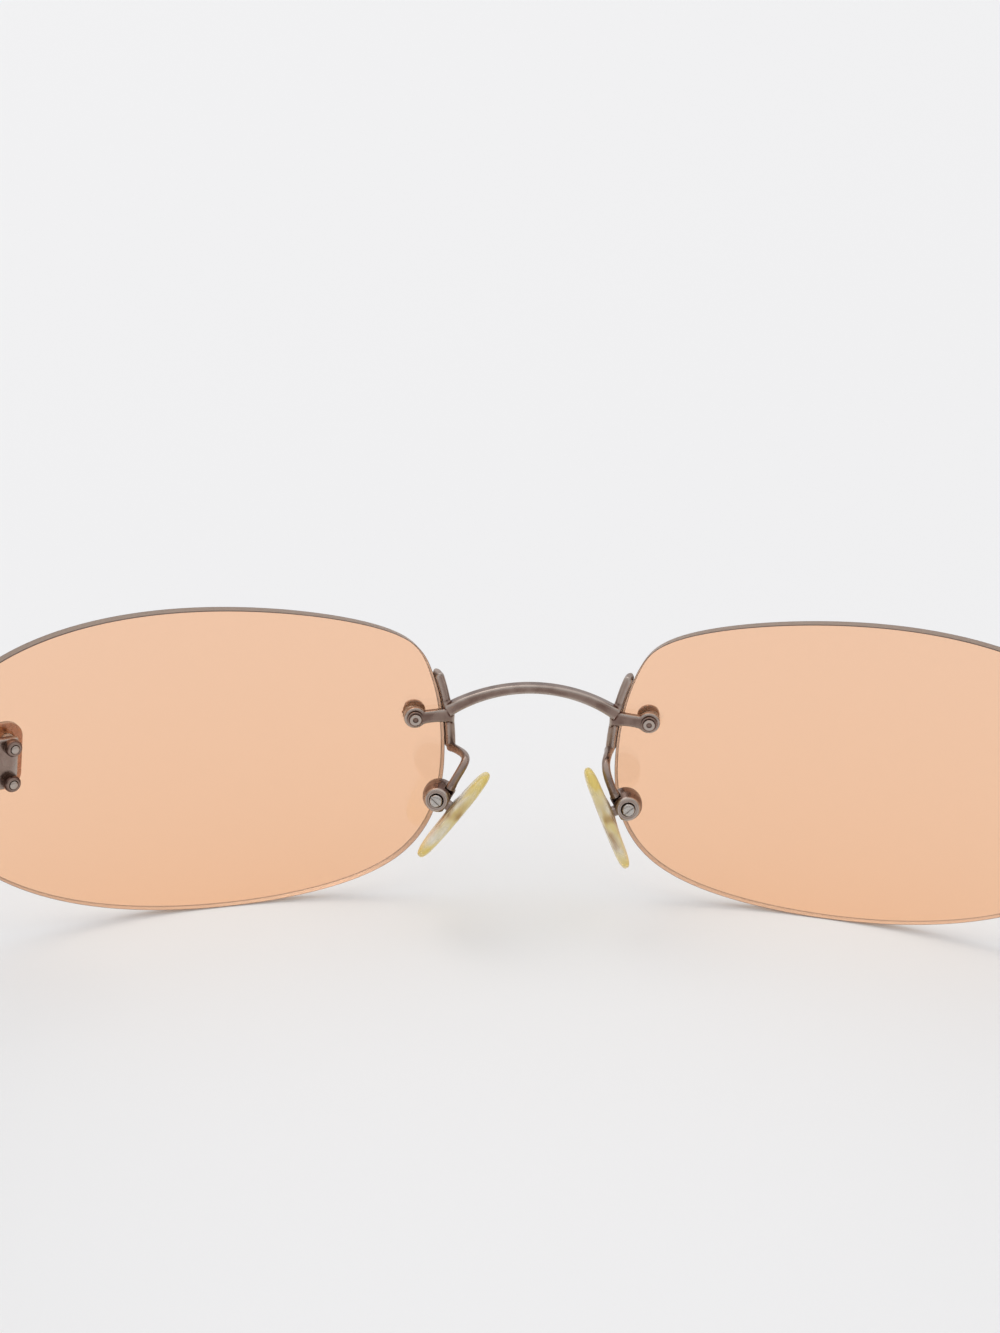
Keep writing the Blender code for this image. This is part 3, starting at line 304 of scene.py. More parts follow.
def rubbedAndHighlit(piece, place, side, height, amount):
    # what stands higher than height along the place's Z is brighter than the rest: partly rubbed barer, and
    # partly a painted highlight on the ends that face the wearer
    points = (readAll(piece.data.vertices, "co", 3) - frontPlace) @ frontTurn / mm * handed[side]
    lightness = piece.data.attributes["wearAndHighlight"].data
    value = readAll(lightness, "value", 1, np.float32)
    risen = np.clip(((points - place[:3, 3]) @ place[:3, 2] - height) / 0.12, 0, 1)
    lightness.foreach_set("value", np.clip(value + amount * risen, 0, 1).astype(np.float32))
    return piece


def fitted(piece, body, slot, material, *stands):
    # a finished piece on its body, in place of its CAD nodes
    piece.data.materials.clear()
    piece.data.materials.append(material)
    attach(piece, body)
    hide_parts(*stands)
    return piece


def plated(piece, body, *stands, rest=0.0):
    return addWear(fitted(piece, body, "antique_pewter", pewter, *stands), rest=rest)


# Materials

def linear(hexColour):
    # sRGB hex to linear light
    value = np.array([int(hexColour[i:i + 2], 16) / 255 for i in (1, 3, 5)])
    return (*np.where(value <= 0.04045, value / 12.92, ((value + 0.055) / 1.055)**2.4), 1.0)


def perSize(size):
    # the scale at which a texture on Object coordinates repeats about every size millimetres
    return 1 / (size * mm)


def newMaterial(name):
    material = bpy.data.materials.new(name)
    material.use_nodes = True
    material.node_tree.nodes.clear()
    return material


def addNode(owner, kind, settings=None, links=None):
    # a node with its sockets and properties set, and with other nodes' outputs linked in, each as
    # socket: (node, output)
    node = owner.node_tree.nodes.new("ShaderNode" + kind)
    for key, value in (settings or {}).items():
        if isinstance(key, int) or key in node.inputs:
            node.inputs[key].default_value = value
        else:
            setattr(node, key, value)
    for key, (source, output) in (links or {}).items():
        owner.node_tree.links.new(source.outputs[output], node.inputs[key])
    return node


# Each of these down to bumped adds one node and gives (node, output), ready to link

def placeOn(m):
    return addNode(m, "TexCoord"), "Object"


def attribute(m, name):
    return addNode(m, "Attribute", {"attribute_name": name}), "Fac"


def noise(m, place, size, detail, **settings):
    # noise that repeats about every size millimetres
    settings = {"Scale": perSize(size), "Detail": detail, **settings}
    return addNode(m, "TexNoise", settings, {"Vector": place}), "Fac"


def ranged(m, source, old=(0, 1), new=(0, 1), soft=False):
    settings = {"From Min": old[0], "From Max": old[1], "To Min": new[0], "To Max": new[1]}
    if soft:
        settings["interpolation_type"] = "SMOOTHSTEP"
    return addNode(m, "MapRange", settings, {"Value": source}), "Result"


def worked(m, operation, *values, **settings):
    # arithmetic on outputs and plain numbers
    links = {n: value for n, value in enumerate(values) if isinstance(value, tuple)}
    numbers = {n: value for n, value in enumerate(values) if not isinstance(value, tuple)}
    return addNode(m, "Math", {"operation": operation, **settings, **numbers}, links), "Value"


def mixed(m, share, first, second):
    # each colour is a hex text, four linear values or an output
    settings, links = {"data_type": "RGBA"}, {0: share}
    for socket, colour in ((6, first), (7, second)):
        if isinstance(colour, str):
            settings[socket] = linear(colour)
        elif len(colour) == 4:
            settings[socket] = colour
        else:
            links[socket] = colour
    return addNode(m, "Mix", settings, links), 2


def bumped(m, source, strength, depth):
    return addNode(m, "Bump", {"Strength": strength, "Distance": depth * mm}, {"Height": source}), "Normal"


def surfaced(m, settings, links=None):
    # the one shader of a plain material, on its output, and the material back
    shader = addNode(m, "BsdfPrincipled", settings, links)
    addNode(m, "OutputMaterial", links={"Surface": (shader, "BSDF")})
    return m


middling = (0.3, 0.7)  # where nearly all of a noise's values lie


def pewterMaterial():
    # antique pewter plating, oxidised and then rubbed back: brown in the hollows, dull grey on the flats,
    # bare and brighter along rubbed edges, with a fine satin grain
    m = newMaterial("antiquePewterPlating")
    place = placeOn(m)
    patches = noise(m, place, 1.6, 2.0, Roughness=0.45)
    grain = noise(m, place, 0.09, 2.0)
    # the attribute holds the hollow-to-ridge wear, and on some ends a painted highlight as well
    height = worked(m, "ADD", attribute(m, "wearAndHighlight"), ranged(m, patches, middling, (-0.1, 0.1)))
    tone = mixed(m, patches, "#826D63", "#A28F85")
    dark = mixed(m, ranged(m, height, (0.12, 0.55)), "#4B2E26", tone)
    bright = mixed(m, ranged(m, height, (0.6, 0.98)), dark, "#B4A89F")
    rough = ranged(m, patches, middling, (0.2, 0.36))
    return surfaced(m, {"Metallic": 1.0}, {
        "Base Color": bright, "Roughness": rough, "Normal": bumped(m, grain, 0.25, 0.02)})


def steelMaterial():
    # stainless screw steel, turned bright and dulled by handling
    m = newMaterial("turnedScrewSteel")
    smear = noise(m, placeOn(m), 0.3, 3.0)
    return surfaced(m, {"Metallic": 1.0}, {
        "Base Color": mixed(m, smear, "#A39C96", "#D3CFCA"),
        "Roughness": ranged(m, smear, middling, (0.16, 0.34)), "Normal": bumped(m, smear, 0.2, 0.01)})


def lensMaterial():
    # CR-39 sheet, dyed amber-pink in a bath and polished: clear to look through, a touch deeper at the foot,
    # with faint wiping marks. Lamps and soft light pass it tinted, so its shadow on the table is pink.
    m = newMaterial("dyedLensResin")
    place = placeOn(m)
    axes = addNode(m, "SeparateXYZ", links={"Vector": place})
    tint = mixed(m, ranged(m, (axes, "Z"), (0, 35 * mm)), (1.0, 0.612, 0.383, 1), (1.0, 0.638, 0.428, 1))
    wiping = {"Rotation": (0, math.radians(25), 0), "Scale": (1, 1, 0.12)}
    wiped = addNode(m, "Mapping", wiping, {"Vector": place})
    marks = noise(m, (wiped, "Vector"), 0.5, 6.0, Roughness=0.7)
    rough = ranged(m, marks, (0.45, 0.75), (0.0, 0.03))
    shader = addNode(m, "BsdfPrincipled", {"IOR": 1.498, "Transmission Weight": 1.0},
                     {"Base Color": tint, "Roughness": rough})
    path = addNode(m, "LightPath")
    passing = worked(m, "MAXIMUM", (path, "Is Shadow Ray"), (path, "Is Diffuse Ray"))
    # a thin tint: the wide light round it washes most of the colour out
    thin = addNode(m, "Gamma", {"Gamma": 0.12}, {"Color": tint})
    clear = addNode(m, "BsdfTransparent", links={"Color": (thin, "Color")})
    mix = addNode(m, "MixShader", links={0: passing, 1: (shader, "BSDF"), 2: (clear, "BSDF")})
    addNode(m, "OutputMaterial", links={"Surface": (mix, "Shader")})
    return m


def lensEdgeMaterial():
    # the same resin where it is ground on the edger's wheel and only lightly buffed: frosted and a little
    # greyer, with a dark line where each safety bevel turns the light away, fainter at the front
    m = newMaterial("groundLensEdge")
    grit = noise(m, placeOn(m), 0.12, 3.0)
    depth = attribute(m, "edgeDepth")
    off = worked(m, "ABSOLUTE", worked(m, "SUBTRACT", depth, 0.5))
    line = worked(m, "MULTIPLY", ranged(m, off, (0.3, 0.43), soft=True), ranged(m, depth, new=(1.0, 0.45)))
    tone = mixed(m, line, mixed(m, grit, "#B89A84", "#D8B9A0"), "#4E382C")
    return surfaced(m, {"IOR": 1.498, "Transmission Weight": 0.6, "Roughness": 0.38}, {
        "Base Color": tone, "Normal": bumped(m, grit, 0.2, 0.03)})


def nylonMaterial():
    # clear moulded nylon of bushes and washers: waxy, very slightly yellow
    m = newMaterial("clearNylon")
    cloud = noise(m, placeOn(m), 0.4, 2.0)
    return surfaced(m, {"IOR": 1.53, "Alpha": 0.16}, {
        "Base Color": mixed(m, cloud, "#E8DFD0", "#F6F2EA"), "Roughness": ranged(m, cloud, new=(0.12, 0.3))})


def siliconeMaterial():
    # silicone moulded on a metal insert and yellowed by skin oil: cloudy, so light spreads in it, pale with
    # soft streaks along the pad, deeper yellow towards the thin ends and stained amber where the insert sits
    m = newMaterial("yellowedSilicone")
    axes = addNode(m, "SeparateXYZ", links={"Vector": placeOn(m)})
    both = addNode(m, "CombineXYZ", links={
        "X": worked(m, "ABSOLUTE", (axes, "X")), "Y": (axes, "Y"), "Z": (axes, "Z")})
    # on either pad: X across, Z along it from its middle
    toMiddle = {"operation": "SUBTRACT", 1: (8.25 * mm, 0, 12.0 * mm)}
    centred = addNode(m, "VectorMath", toMiddle, {0: (both, "Vector")})
    turn = {"rotation_type": "Y_AXIS", "Angle": math.radians(30)}
    pad = addNode(m, "VectorRotate", turn, {"Vector": (centred, "Vector")}), "Vector"
    drawn = addNode(m, "Mapping", {"Scale": (1, 1, 0.22)}, {"Vector": pad}), "Vector"
    streaks = noise(m, drawn, 0.8, 1.5, Roughness=0.4)
    far = worked(m, "ABSOLUTE", (addNode(m, "SeparateXYZ", links={"Vector": pad}), "Z"))
    ends = ranged(m, far, (2.4 * mm, 5.6 * mm), (0.1, 0.7), soft=True)
    core = ranged(m, far, (0.8 * mm, 3.6 * mm), (1.0, 0.0), soft=True)
    stain = worked(m, "MULTIPLY", core, ranged(m, noise(m, pad, 2.4, 1.5), (0.4, 0.6)))
    yellow = worked(m, "ADD", ranged(m, streaks, middling, (0.0, 0.7)), ends, use_clamp=True)
    tone = mixed(m, stain, mixed(m, yellow, "#FFFCF0", "#F8DF80"), "#B28040")
    return surfaced(m, {"IOR": 1.41, "Transmission Weight": 0.22}, {
        "Base Color": tone, "Roughness": ranged(m, streaks, middling, (0.22, 0.36)),
        "Normal": bumped(m, streaks, 0.12, 0.03)})


def acetateMaterial():
    # cellulose acetate of the temple tips, tumbled bright: amber and dark brown swirled together, and light
    # passes the thin parts
    m = newMaterial("brownAcetate")
    place = placeOn(m)
    swirl = noise(m, place, 5.0, 4.0, Distortion=1.4)
    tone = mixed(m, ranged(m, swirl, (0.4, 0.62), soft=True), "#8A4A1E", "#2E160C")
    rough = ranged(m, noise(m, place, 0.5, 4.0), middling, (0.08, 0.2))
    gloss = {"IOR": 1.48, "Transmission Weight": 0.35, "Coat Weight": 0.3, "Coat Roughness": 0.05}
    return surfaced(m, gloss, {"Base Color": tone, "Roughness": rough})


pewter, steel, nylon = pewterMaterial(), steelMaterial(), nylonMaterial()
resin, resinEdge = lensMaterial(), lensEdgeMaterial()
silicone, acetate = siliconeMaterial(), acetateMaterial()
print("materials ready")

fit = 0.05  # the slide fit between a bore and what goes through it


# Lenses: spherical caps of even thickness

lensSize = {
    "width": 54.35,
    "height": 34.4,
    "thickness": 1.3,
    "backRadius": 110.0,
    "centreSide": 5.0,
    "centreDrop": 8.4,
    "noseGap": 18.5,
    "bevel": 0.06,        # the safety bevel ground on both rims of the edge
    "holeBevel": 0.06,
    "noseHoleInset": 3.4,
    "noseHoleHeight": 4.3,
    "noseHoleRadius": 0.77,
    "postInset": 8.3,
    "postHeight": 2.15,
    "postSpacing": 4.0,
    "postHoleRadius": 0.67,
    # shares of the width, from the nose, and of the height, from the temple edge over the top
    "outline": ((1.000, 0.033), (0.871, 0.375), (0.527, 0.500), (0.148, 0.426), (0.031, 0.277),
                (0.000, 0.017), (0.097, -0.366), (0.509, -0.495), (0.860, -0.328)),
    "stepsPerPoint": 48,
    "meshSize": 0.9,
}
nasal = lensSize["noseGap"] / 2
sphereCentre = np.array([
    lensSize["centreSide"],
    -math.sqrt(lensSize["backRadius"]**2 - (nasal - lensSize["centreSide"])**2),
    -lensSize["centreDrop"],
])


def lensFrame(x, z):
    # on the back face of the right lens: X outward, Y up, Z back towards the wearer
    dx, dz = x - sphereCentre[0], z - sphereCentre[2]
    forward = unit(np.array([dx, math.sqrt(lensSize["backRadius"]**2 - dx**2 - dz**2), dz]))
    outward = unit(np.cross(forward, (0, 0, 1)))
    origin = sphereCentre + forward * lensSize["backRadius"]
    return axesAt(origin, outward, np.cross(outward, forward), -forward)


lensMiddle = lensFrame(nasal + lensSize["width"] / 2, 0)
noseHole = lensFrame(nasal + lensSize["noseHoleInset"], lensSize["noseHoleHeight"])
post = lensFrame(nasal + lensSize["width"] - lensSize["postInset"], lensSize["postHeight"])
postReach = lensSize["postSpacing"] / 2
postPlaces = {"upper": post @ shift(0, postReach, 0), "lower": post @ shift(0, -postReach, 0)}


def inLensPlane(points):
    # (x, z) points of the back face, in the lens's own flat frame
    dx, dz = points[:, 0] - sphereCentre[0], points[:, 1] - sphereCentre[2]
    y = sphereCentre[1] + np.sqrt(lensSize["backRadius"]**2 - dx**2 - dz**2)
    world = np.stack([points[:, 0], y, points[:, 1]], axis=1)
    return (world - lensMiddle[:3, 3]) @ lensMiddle[:3, :3]


def lensOutline(steps):
    return closedSpline(lensSize["outline"], steps) * (lensSize["width"], lensSize["height"]) + (nasal, 0)


def inwardOf(outline):
    # unit normals to the left of the way round
    along = unit(np.roll(outline, -1, axis=0) - np.roll(outline, 1, axis=0))
    return np.stack([-along[:, 1], along[:, 0]], axis=1)


def lensLoops():
    # the rim and the three holes, each with its bevel, and each with the resin to the left of its way round
    rim = inLensPlane(lensOutline(lensSize["stepsPerPoint"]))[:, :2]
    turn = np.linspace(0, 2 * math.pi, 64, endpoint=False)[::-1]
    circle = np.stack([np.cos(turn), np.sin(turn)], axis=1)
    loops = [(rim, lensSize["bevel"])]
    holes = [(noseHole, lensSize["noseHoleRadius"])]
    holes += [(place, lensSize["postHoleRadius"]) for place in postPlaces.values()]
    for place, radius in holes:
        middle = ((place[:3, 3] - lensMiddle[:3, 3]) @ lensMiddle[:3, :3])[:2]
        loops.append((middle + circle * radius, lensSize["holeBevel"]))
    return loops


def fieldWithin(rim, inner):
    # a triangular grid of points; one stays if it is inside the inner rim and clear of it and of the holes
    step = lensSize["meshSize"]
    low, high = rim.min(axis=0), rim.max(axis=0)
    u, v = np.meshgrid(np.arange(low[0], high[0], step), np.arange(low[1], high[1], step * 0.87))
    u = u + (np.arange(len(u)) % 2)[:, None] * step / 2
    field = np.stack([u.ravel(), v.ravel()], axis=1)
    # a line from a point inside crosses the rim an odd number of times
    a, b, p = inner[0][None], np.roll(inner[0], -1, axis=0)[None], field[:, None]
    edge = b - a
    crossing = (a[..., 1] > p[..., 1]) != (b[..., 1] > p[..., 1])
    climb = np.where(edge[..., 1] == 0, 1e-9, edge[..., 1])
    where = a[..., 0] + (p[..., 1] - a[..., 1]) * edge[..., 0] / climb
    inside = ((crossing & (p[..., 0] < where)).sum(axis=1) % 2) == 1
    clear = np.linalg.norm(p - a, axis=2).min(axis=1) > step * 0.45
    for loop in inner[1:]:
        middle = loop.mean(axis=0)
        clear &= np.linalg.norm(field - middle, axis=1) > np.linalg.norm(loop[0] - middle) + step * 0.3
    return field[inside & clear]


def lensShell():
    # both faces share one triangulation of the flat outline with its holes; a face's height is
    # R - sqrt(r^2 - u^2 - v^2), with r the radius of that face, and quads join the rims over the bevels
    loops = lensLoops()
    inner = [loop + inwardOf(loop) * bevel for loop, bevel in loops]
    flat = np.concatenate(inner + [fieldWithin(loops[0][0], inner)])
    edges, start = [], 0
    for loop in inner:
        index = np.arange(start, start + len(loop))
        edges += np.stack([index, np.roll(index, -1)], axis=1).tolist()
        start += len(loop)
    found = delaunay_2d_cdt(flat.tolist(), edges, [], 1, 1e-7)
    flat = np.array([tuple(point) for point in found[0]])
    triangles = np.array(found[2])
    middles = flat[triangles].mean(axis=1)
    for loop in inner[1:]:
        centre = loop.mean(axis=0)
        far = np.linalg.norm(middles - centre, axis=1) > np.linalg.norm(loop[0] - centre) * 0.98
        triangles, middles = triangles[far], middles[far]
    radius, thick = lensSize["backRadius"], lensSize["thickness"]

    def lifted(points, depth):
        # depth runs from 0 on the back face to 1 on the front face
        low = radius - np.sqrt(radius**2 - (points**2).sum(axis=1))
        high = radius - np.sqrt((radius + thick)**2 - (points**2).sum(axis=1))
        return np.concatenate([points, (low + (high - low) * depth)[:, None]], axis=1)

    count = len(flat)
    points = [lifted(flat, 0), lifted(flat, 1)]
    faces = triangles.tolist() + (triangles[:, ::-1] + count).tolist()
    walls, start, total = [], 0, 2 * count
    for (loop, bevel), ring in zip(loops, inner):
        share = bevel / thick
        rows = [np.arange(start, start + len(ring))]
        for depth in (share, 0.5, 1 - share):
            points.append(lifted(loop, depth))
            rows.append(np.arange(total, total + len(loop)))
            total += len(loop)
        rows.append(np.arange(start, start + len(ring)) + count)
        rows = np.stack(rows)
        beside = np.roll(rows, -1, axis=1)
        walls += np.stack([rows[:-1], beside[:-1], beside[1:], rows[1:]], axis=-1).reshape(-1, 4).tolist()
        start += len(ring)
    return {"points": put(np.concatenate(points), lensMiddle), "faces": faces + walls}


def makeLens(side, shell):
    piece = newObject(f"lens_{side}_polished", [shell], side)
    fitted(piece, "front", "amber_lens", resin, f"lens_{side}")
    piece.data.materials.append(resinEdge)
    smoothed(piece, 25, weighted=False)
    mesh = piece.data
    # a face belongs to the ground edge if it doesn't look along its own sphere's radius
    middle = frontPlace + frontTurn @ (sphereCentre * handed[side]) * mm
    radial = unit(readAll(mesh.polygons, "center", 3) - middle)
    facing = (radial * readAll(mesh.polygons, "normal", 3)).sum(axis=1)
    ground = np.abs(facing) < 0.97
    mesh.polygons.foreach_set("material_index", ground.astype(np.int32))
    # how deep a point lies between the back face, 0, and the front face, 1
    reach = readAll(mesh.vertices, "co", 3) - middle
    height = np.linalg.norm(reach, axis=1) / mm - lensSize["backRadius"]
    depth = np.clip(height / lensSize["thickness"], 0, 1)
    mesh.attributes.new("edgeDepth", "FLOAT", "POINT").data.foreach_set("value", depth.astype(np.float32))
    # the polished faces shade as true spheres: their normals are the radii
    corners = readAll(mesh.loops, "vertex_index", 1, np.int32)
    sizes = readAll(mesh.polygons, "loop_total", 1, np.int32)
    radii = unit(reach)[corners] * np.sign(np.repeat(facing, sizes))[:, None]
    found = readAll(mesh.corner_normals, "vector", 3, np.float32)
    mesh.normals_split_custom_set(np.where(np.repeat(ground, sizes)[:, None], found, radii).tolist())
    mesh.update()


# Bridge screw, nut, washer and bush. Heights are behind the lens's back face.

seat = 0.03        # the air gap at each seat
threadGap = 0.02   # between a nut and what it is screwed on
collar = 0.14
metalSeat = collar + 2 * seat   # where lug and end plate lie on the collars
bridgeSize = {
    "screwRadius": 0.55,
    "rimRadius": 0.63,        # the hollow shank's end is rolled out a little over the nut
    "rimLength": 0.14,
    "rimNeck": 0.24,          # where the shank has its own radius again
    "headRadius": 1.3,
    "headThickness": 0.5,
    "headSide": 0.28,         # the head is round in front of this
    "headFall": 0.07,
    "boreRadius": 0.29,
    "boreDepth": 0.12,
    "nutRadius": 0.85,
    "nutThickness": 0.3,
    "proud": 0.2,
    "washer": 0.18,
    "sleeveWall": 0.12,
    "crown": 7.7,
    "barEnd": 5.5,
    "barThickness": 1.0,
    "barDepth": 1.5,
    "barFlare": 0.3,
    "barCorner": 0.22,
    "barCrown": 0.06,
    "solder": 0.12,           # the bar swells by this at the straps, and its back and front draw in
    "strapThickness": 0.95,
    "strapTop": 8.7,
    "strapBottom": 0.9,
    "strapCover": 1.1,
    "strapCorner": 0.38,
    "stepStart": 0.58,        # shares of the strap's height
    "stepLength": 0.09,
    "stepDepth": 0.42,
    "lugThickness": 0.75,
    "lugEdge": 0.2,
    "eyeRadius": 1.2,
    "neck": 1.5,
    "lugRoot": 1.8,
    "lugRise": 0.35,          # the lug leaves the strap a little above the screw
    "meltGrain": 0.06,
}
lugBack = metalSeat + bridgeSize["lugThickness"]
headFace = -lensSize["thickness"] - bridgeSize["washer"] - 2 * seat


def bridgeScrewShells():
    s = bridgeSize
    end = lugBack + seat + s["nutThickness"] + s["proud"]
    front = headFace - s["headThickness"]
    profile = roundCorners([
        (0.02, end - s["boreDepth"]), (s["boreRadius"], end - s["boreDepth"]), (s["boreRadius"], end),
        (s["rimRadius"], end), (s["rimRadius"], end - s["rimLength"]), (s["screwRadius"], end - s["rimNeck"]),
        (s["screwRadius"], headFace), (s["headRadius"], headFace), (s["headRadius"], front + s["headSide"]),
        (s["headRadius"] * 0.86, front + s["headFall"]), (s["headRadius"] * 0.5, front), (0.02, front),
    ], 0.09, 5)
    return [turned(profile, noseHole)]


def ringShell(outer, inner, low, high, place, edge):
    profile = roundCorners([(inner, low), (outer, low), (outer, high), (inner, high)], edge, 4, closed=True)
    return turned(profile, place, ring=True)


def sleeveShell(inner, collarRadius, place):
    top = seat + collar
    outer = inner + bridgeSize["sleeveWall"]
    profile = roundCorners([
        (inner, top), (inner, -lensSize["thickness"]), (outer, -lensSize["thickness"]),
        (outer, seat), (collarRadius, seat), (collarRadius, top),
    ], 0.03, 3, closed=True)
    return turned(profile, place, ring=True)


def moulded(node, shell, side):
    # a bush or washer of clear nylon
    return fitted(smoothed(newObject(f"{node}_clear", [shell], side)), "front", "clear_nylon", nylon, node)


def makeNoseFastening(side):
    # screw, nut, washer and bush
    s = bridgeSize
    screw = newObject(f"bridge_screw_{side}_turned", bridgeScrewShells(), side)
    plated(smoothed(screw), "front", f"bridge_screw_{side}", rest=0.8)
    # the screw's end behind the lug: rubbed barer, with a painted highlight
    rubbedAndHighlit(screw, noseHole, side, lugBack, 0.3)
    low, high = lugBack + seat, -lensSize["thickness"] - seat
    bore = s["screwRadius"] + threadGap
    ring = ringShell(s["nutRadius"], bore, low, low + s["nutThickness"], noseHole, 0.09)
    nut = newObject(f"bridge_nut_{side}_turned", [ring], side)
    plated(smoothed(nut), "front", f"bridge_nut_{side}", rest=3.0)
    bore = s["screwRadius"] + fit
    washer = ringShell(s["headRadius"], bore, high - s["washer"], high, noseHole, 0.04)
    moulded(f"bridge_washer_{side}", washer, side)
    moulded(f"bridge_sleeve_{side}", sleeveShell(bore, s["eyeRadius"] * 0.9, noseHole), side)


# Bridge strap with its lug, and the bridge bar

def nasalEdge(low, high, count):
    outline = lensOutline(40)
    near = outline[outline[:, 0] < nasal + lensSize["width"] * 0.3]
    near = near[np.argsort(near[:, 1])]
    heights = np.linspace(low, high, count)
    return np.stack([np.interp(heights, near[:, 1], near[:, 0]), heights], axis=1)


strapEdge = inLensPlane(nasalEdge(bridgeSize["strapBottom"], bridgeSize["strapTop"], 9))
strapDepth = strapEdge[:, 2].max()
strapBack = strapDepth + lugBack + seat


def strapShells():
    # the strap runs up the nasal edge: across is towards the nose, and its back steps forward above the lug
    s = bridgeSize
    line = inLensPlane(nasalEdge(s["strapBottom"], s["strapTop"], 61))[:, :2]
    along = unit(np.gradient(line, axis=0))
    left = np.stack([-along[:, 1], along[:, 0]], axis=1)
    half = s["strapThickness"] / 2
    # round ends: beyond each end the half width follows a quarter circle
    turn = np.linspace(0, math.pi / 2, 9)[1:]
    top = line[-1] + along[-1] * half * np.sin(turn)[:, None]
    foot = (line[0] - along[0] * half * np.sin(turn)[:, None])[::-1]
    centre = np.concatenate([foot, line, top])
    left = np.concatenate([np.repeat(left[:1], 8, axis=0), left, np.repeat(left[-1:], 8, axis=0)])
    wide = np.concatenate([half * np.cos(turn)[::-1], np.full(61, half), half * np.cos(turn)]) + 0.01
    centre = centre + left * (fit + half)
    height = np.concatenate([np.full(8, 0.0), np.linspace(0, 1, 61), np.full(8, 1.0)])
    step = np.clip((height - s["stepStart"]) / s["stepLength"], 0, 1)
    back = strapBack - s["stepDepth"] * step**2 * (3 - 2 * step)
    front = np.full_like(back, strapDepth - s["strapCover"])
    section = roundedSection(2 * wide, back - front, np.minimum(s["strapCorner"], wide * 0.95), 6)
    section[..., 1] += ((back + front) / 2)[:, None]
    flat = np.concatenate([centre, np.zeros((len(centre), 1))], axis=1)
    across = np.concatenate([left, np.zeros((len(left), 1))], axis=1)
    upward = np.broadcast_to((0.0, 0.0, 1.0), across.shape)
    strap = sweep(flat, across, upward, section)
    strap["points"] = put(strap["points"], lensMiddle)
    # the lug reaches from the strap over the lens to its eye, and is waisted between them
    root = -(lensSize["noseHoleInset"] + fit + half * 1.7)
    eye, neck = s["eyeRadius"], s["neck"] / 2
    start = math.asin(neck / eye)
    swing = np.linspace(start - math.pi, math.pi - start, 49)
    eyeLine = np.stack([eye * np.cos(swing), eye * np.sin(swing)], axis=1)
    rise, end = s["lugRise"], s["lugRoot"] / 2
    waist, corner = np.array([root * 0.5, rise * 0.7]), np.array([root, rise])
    upper = parabola(eyeLine[-1], waist + (0, neck * 0.8), corner + (0, end), 17)
    lower = parabola(eyeLine[0], waist - (0, neck * 0.8), corner - (0, end), 17)[::-1]
    outline = np.concatenate([eyeLine, upper, lower])
    lug = slab(outline, metalSeat, lugBack, noseHole, edge=s["lugEdge"])
    return strap, lug, rod(s["screwRadius"] + fit, 0, 2 * lugBack, noseHole)


def barShells():
    # an arc in the XZ plane, as thick as barThickness at the crown, flared at its ends, with a gently
    # crowned back
    s = bridgeSize
    rise, half = s["crown"] - s["barEnd"], nasal - s["strapThickness"]
    radius = (half**2 + rise**2) / (2 * rise)
    reach = math.asin((nasal - 0.15) / radius)
    turn = np.linspace(-reach, reach, 121)
    share = np.abs(turn) / reach
    back = lensFrame(nasal, s["barEnd"])[1, 3] - lugBack
    toEnd = (1 - share) * radius * reach
    thick = s["barThickness"] + s["barFlare"] * share**2 + s["solder"] * np.exp(-toEnd / 0.4)
    deep = s["barDepth"] - s["solder"] * np.exp(-toEnd / 0.35)
    section = roundedSection(thick, deep, s["barCorner"], 8)
    crown = s["barCrown"] * (1 - (2 * section[..., 0] / thick[:, None])**2)
    section[..., 1] += np.where(section[..., 1] > 0, crown, -crown * 0.5)
    height = radius * np.cos(turn) + s["crown"] - radius
    centres = np.stack([radius * np.sin(turn), back + s["barDepth"] - deep / 2, height], axis=1)
    across = np.stack([np.sin(turn), 0 * turn, np.cos(turn)], axis=1)
    upward = np.broadcast_to((0.0, -1.0, 0.0), across.shape)
    return [sweep(centres, across, upward, section)]


def makeBridge():
    # bar, straps and lugs are silver-soldered to one another, so one skin with soft joints covers them
    strap, lug, bore = strapShells()
    piece = newObject("bridge_soldered", barShells())
    for side in sides:
        combined(piece, "UNION", [strap, lug], side)
        combined(piece, "DIFFERENCE", [bore], side)
    melted(piece, bridgeSize["meltGrain"], 6)
    nodes = ["bridge_bar"] + [f"bridge_strap_{side}" for side in sides]
    return plated(smoothed(piece, 60, False), "front", *nodes, rest=0.3)


# Pad arm, box, screw, core and pad. The arms are bent by hand, so each side has its own values.

padSize = {
    "wireRadius": 0.45,
    "backReach": 3.3,
    "endRise": 3.1,
    "endLean": 1.5,
    "axisBack": 5.4,
    "boxLength": 2.4,
    "rimRadius": 1.78,
    "faceRadius": 1.3,
    "flat": 1.2,
    "screwRadius": 0.34,
    "headRadius": 0.68,
    "headThickness": 0.35,
    "eyeRadius": 1.0,
    "eyeThickness": 1.0,
    "length": 12.0,
    "width": 6.4,
    "thickness": 1.4,
    "outlinePower": 0.86,    # 1 is an ellipse, and less is squarer
    "edgePower": 0.4,
    "facePower": 0.72,
    "taper": 0.14,
    "mound": (0.3, 1.4, 1.1),
    "standOff": 1.75,
    "slideDown": 0.4,
    "core": (6.2, 3.4, 0.45),
    "coreFrame": 0.5,
    "corePost": 0.95,
    "coreNeck": 0.9,
    "leanMiddle": 30.0,
    "play": 0.08,
    "brazing": 0.06,
    "boxGrain": 0.045,
    "coreGrain": 0.05,
    "screwGrain": 0.03,
}
padSides = {
    "right": {"lean": 23.0, "splay": 4.0, "inset": 1.02, "drop": 4.0, "swing": 0.5},
    "left": {"lean": 36.0, "splay": 12.0, "inset": 0.72, "drop": 3.45, "swing": 2.1},
}


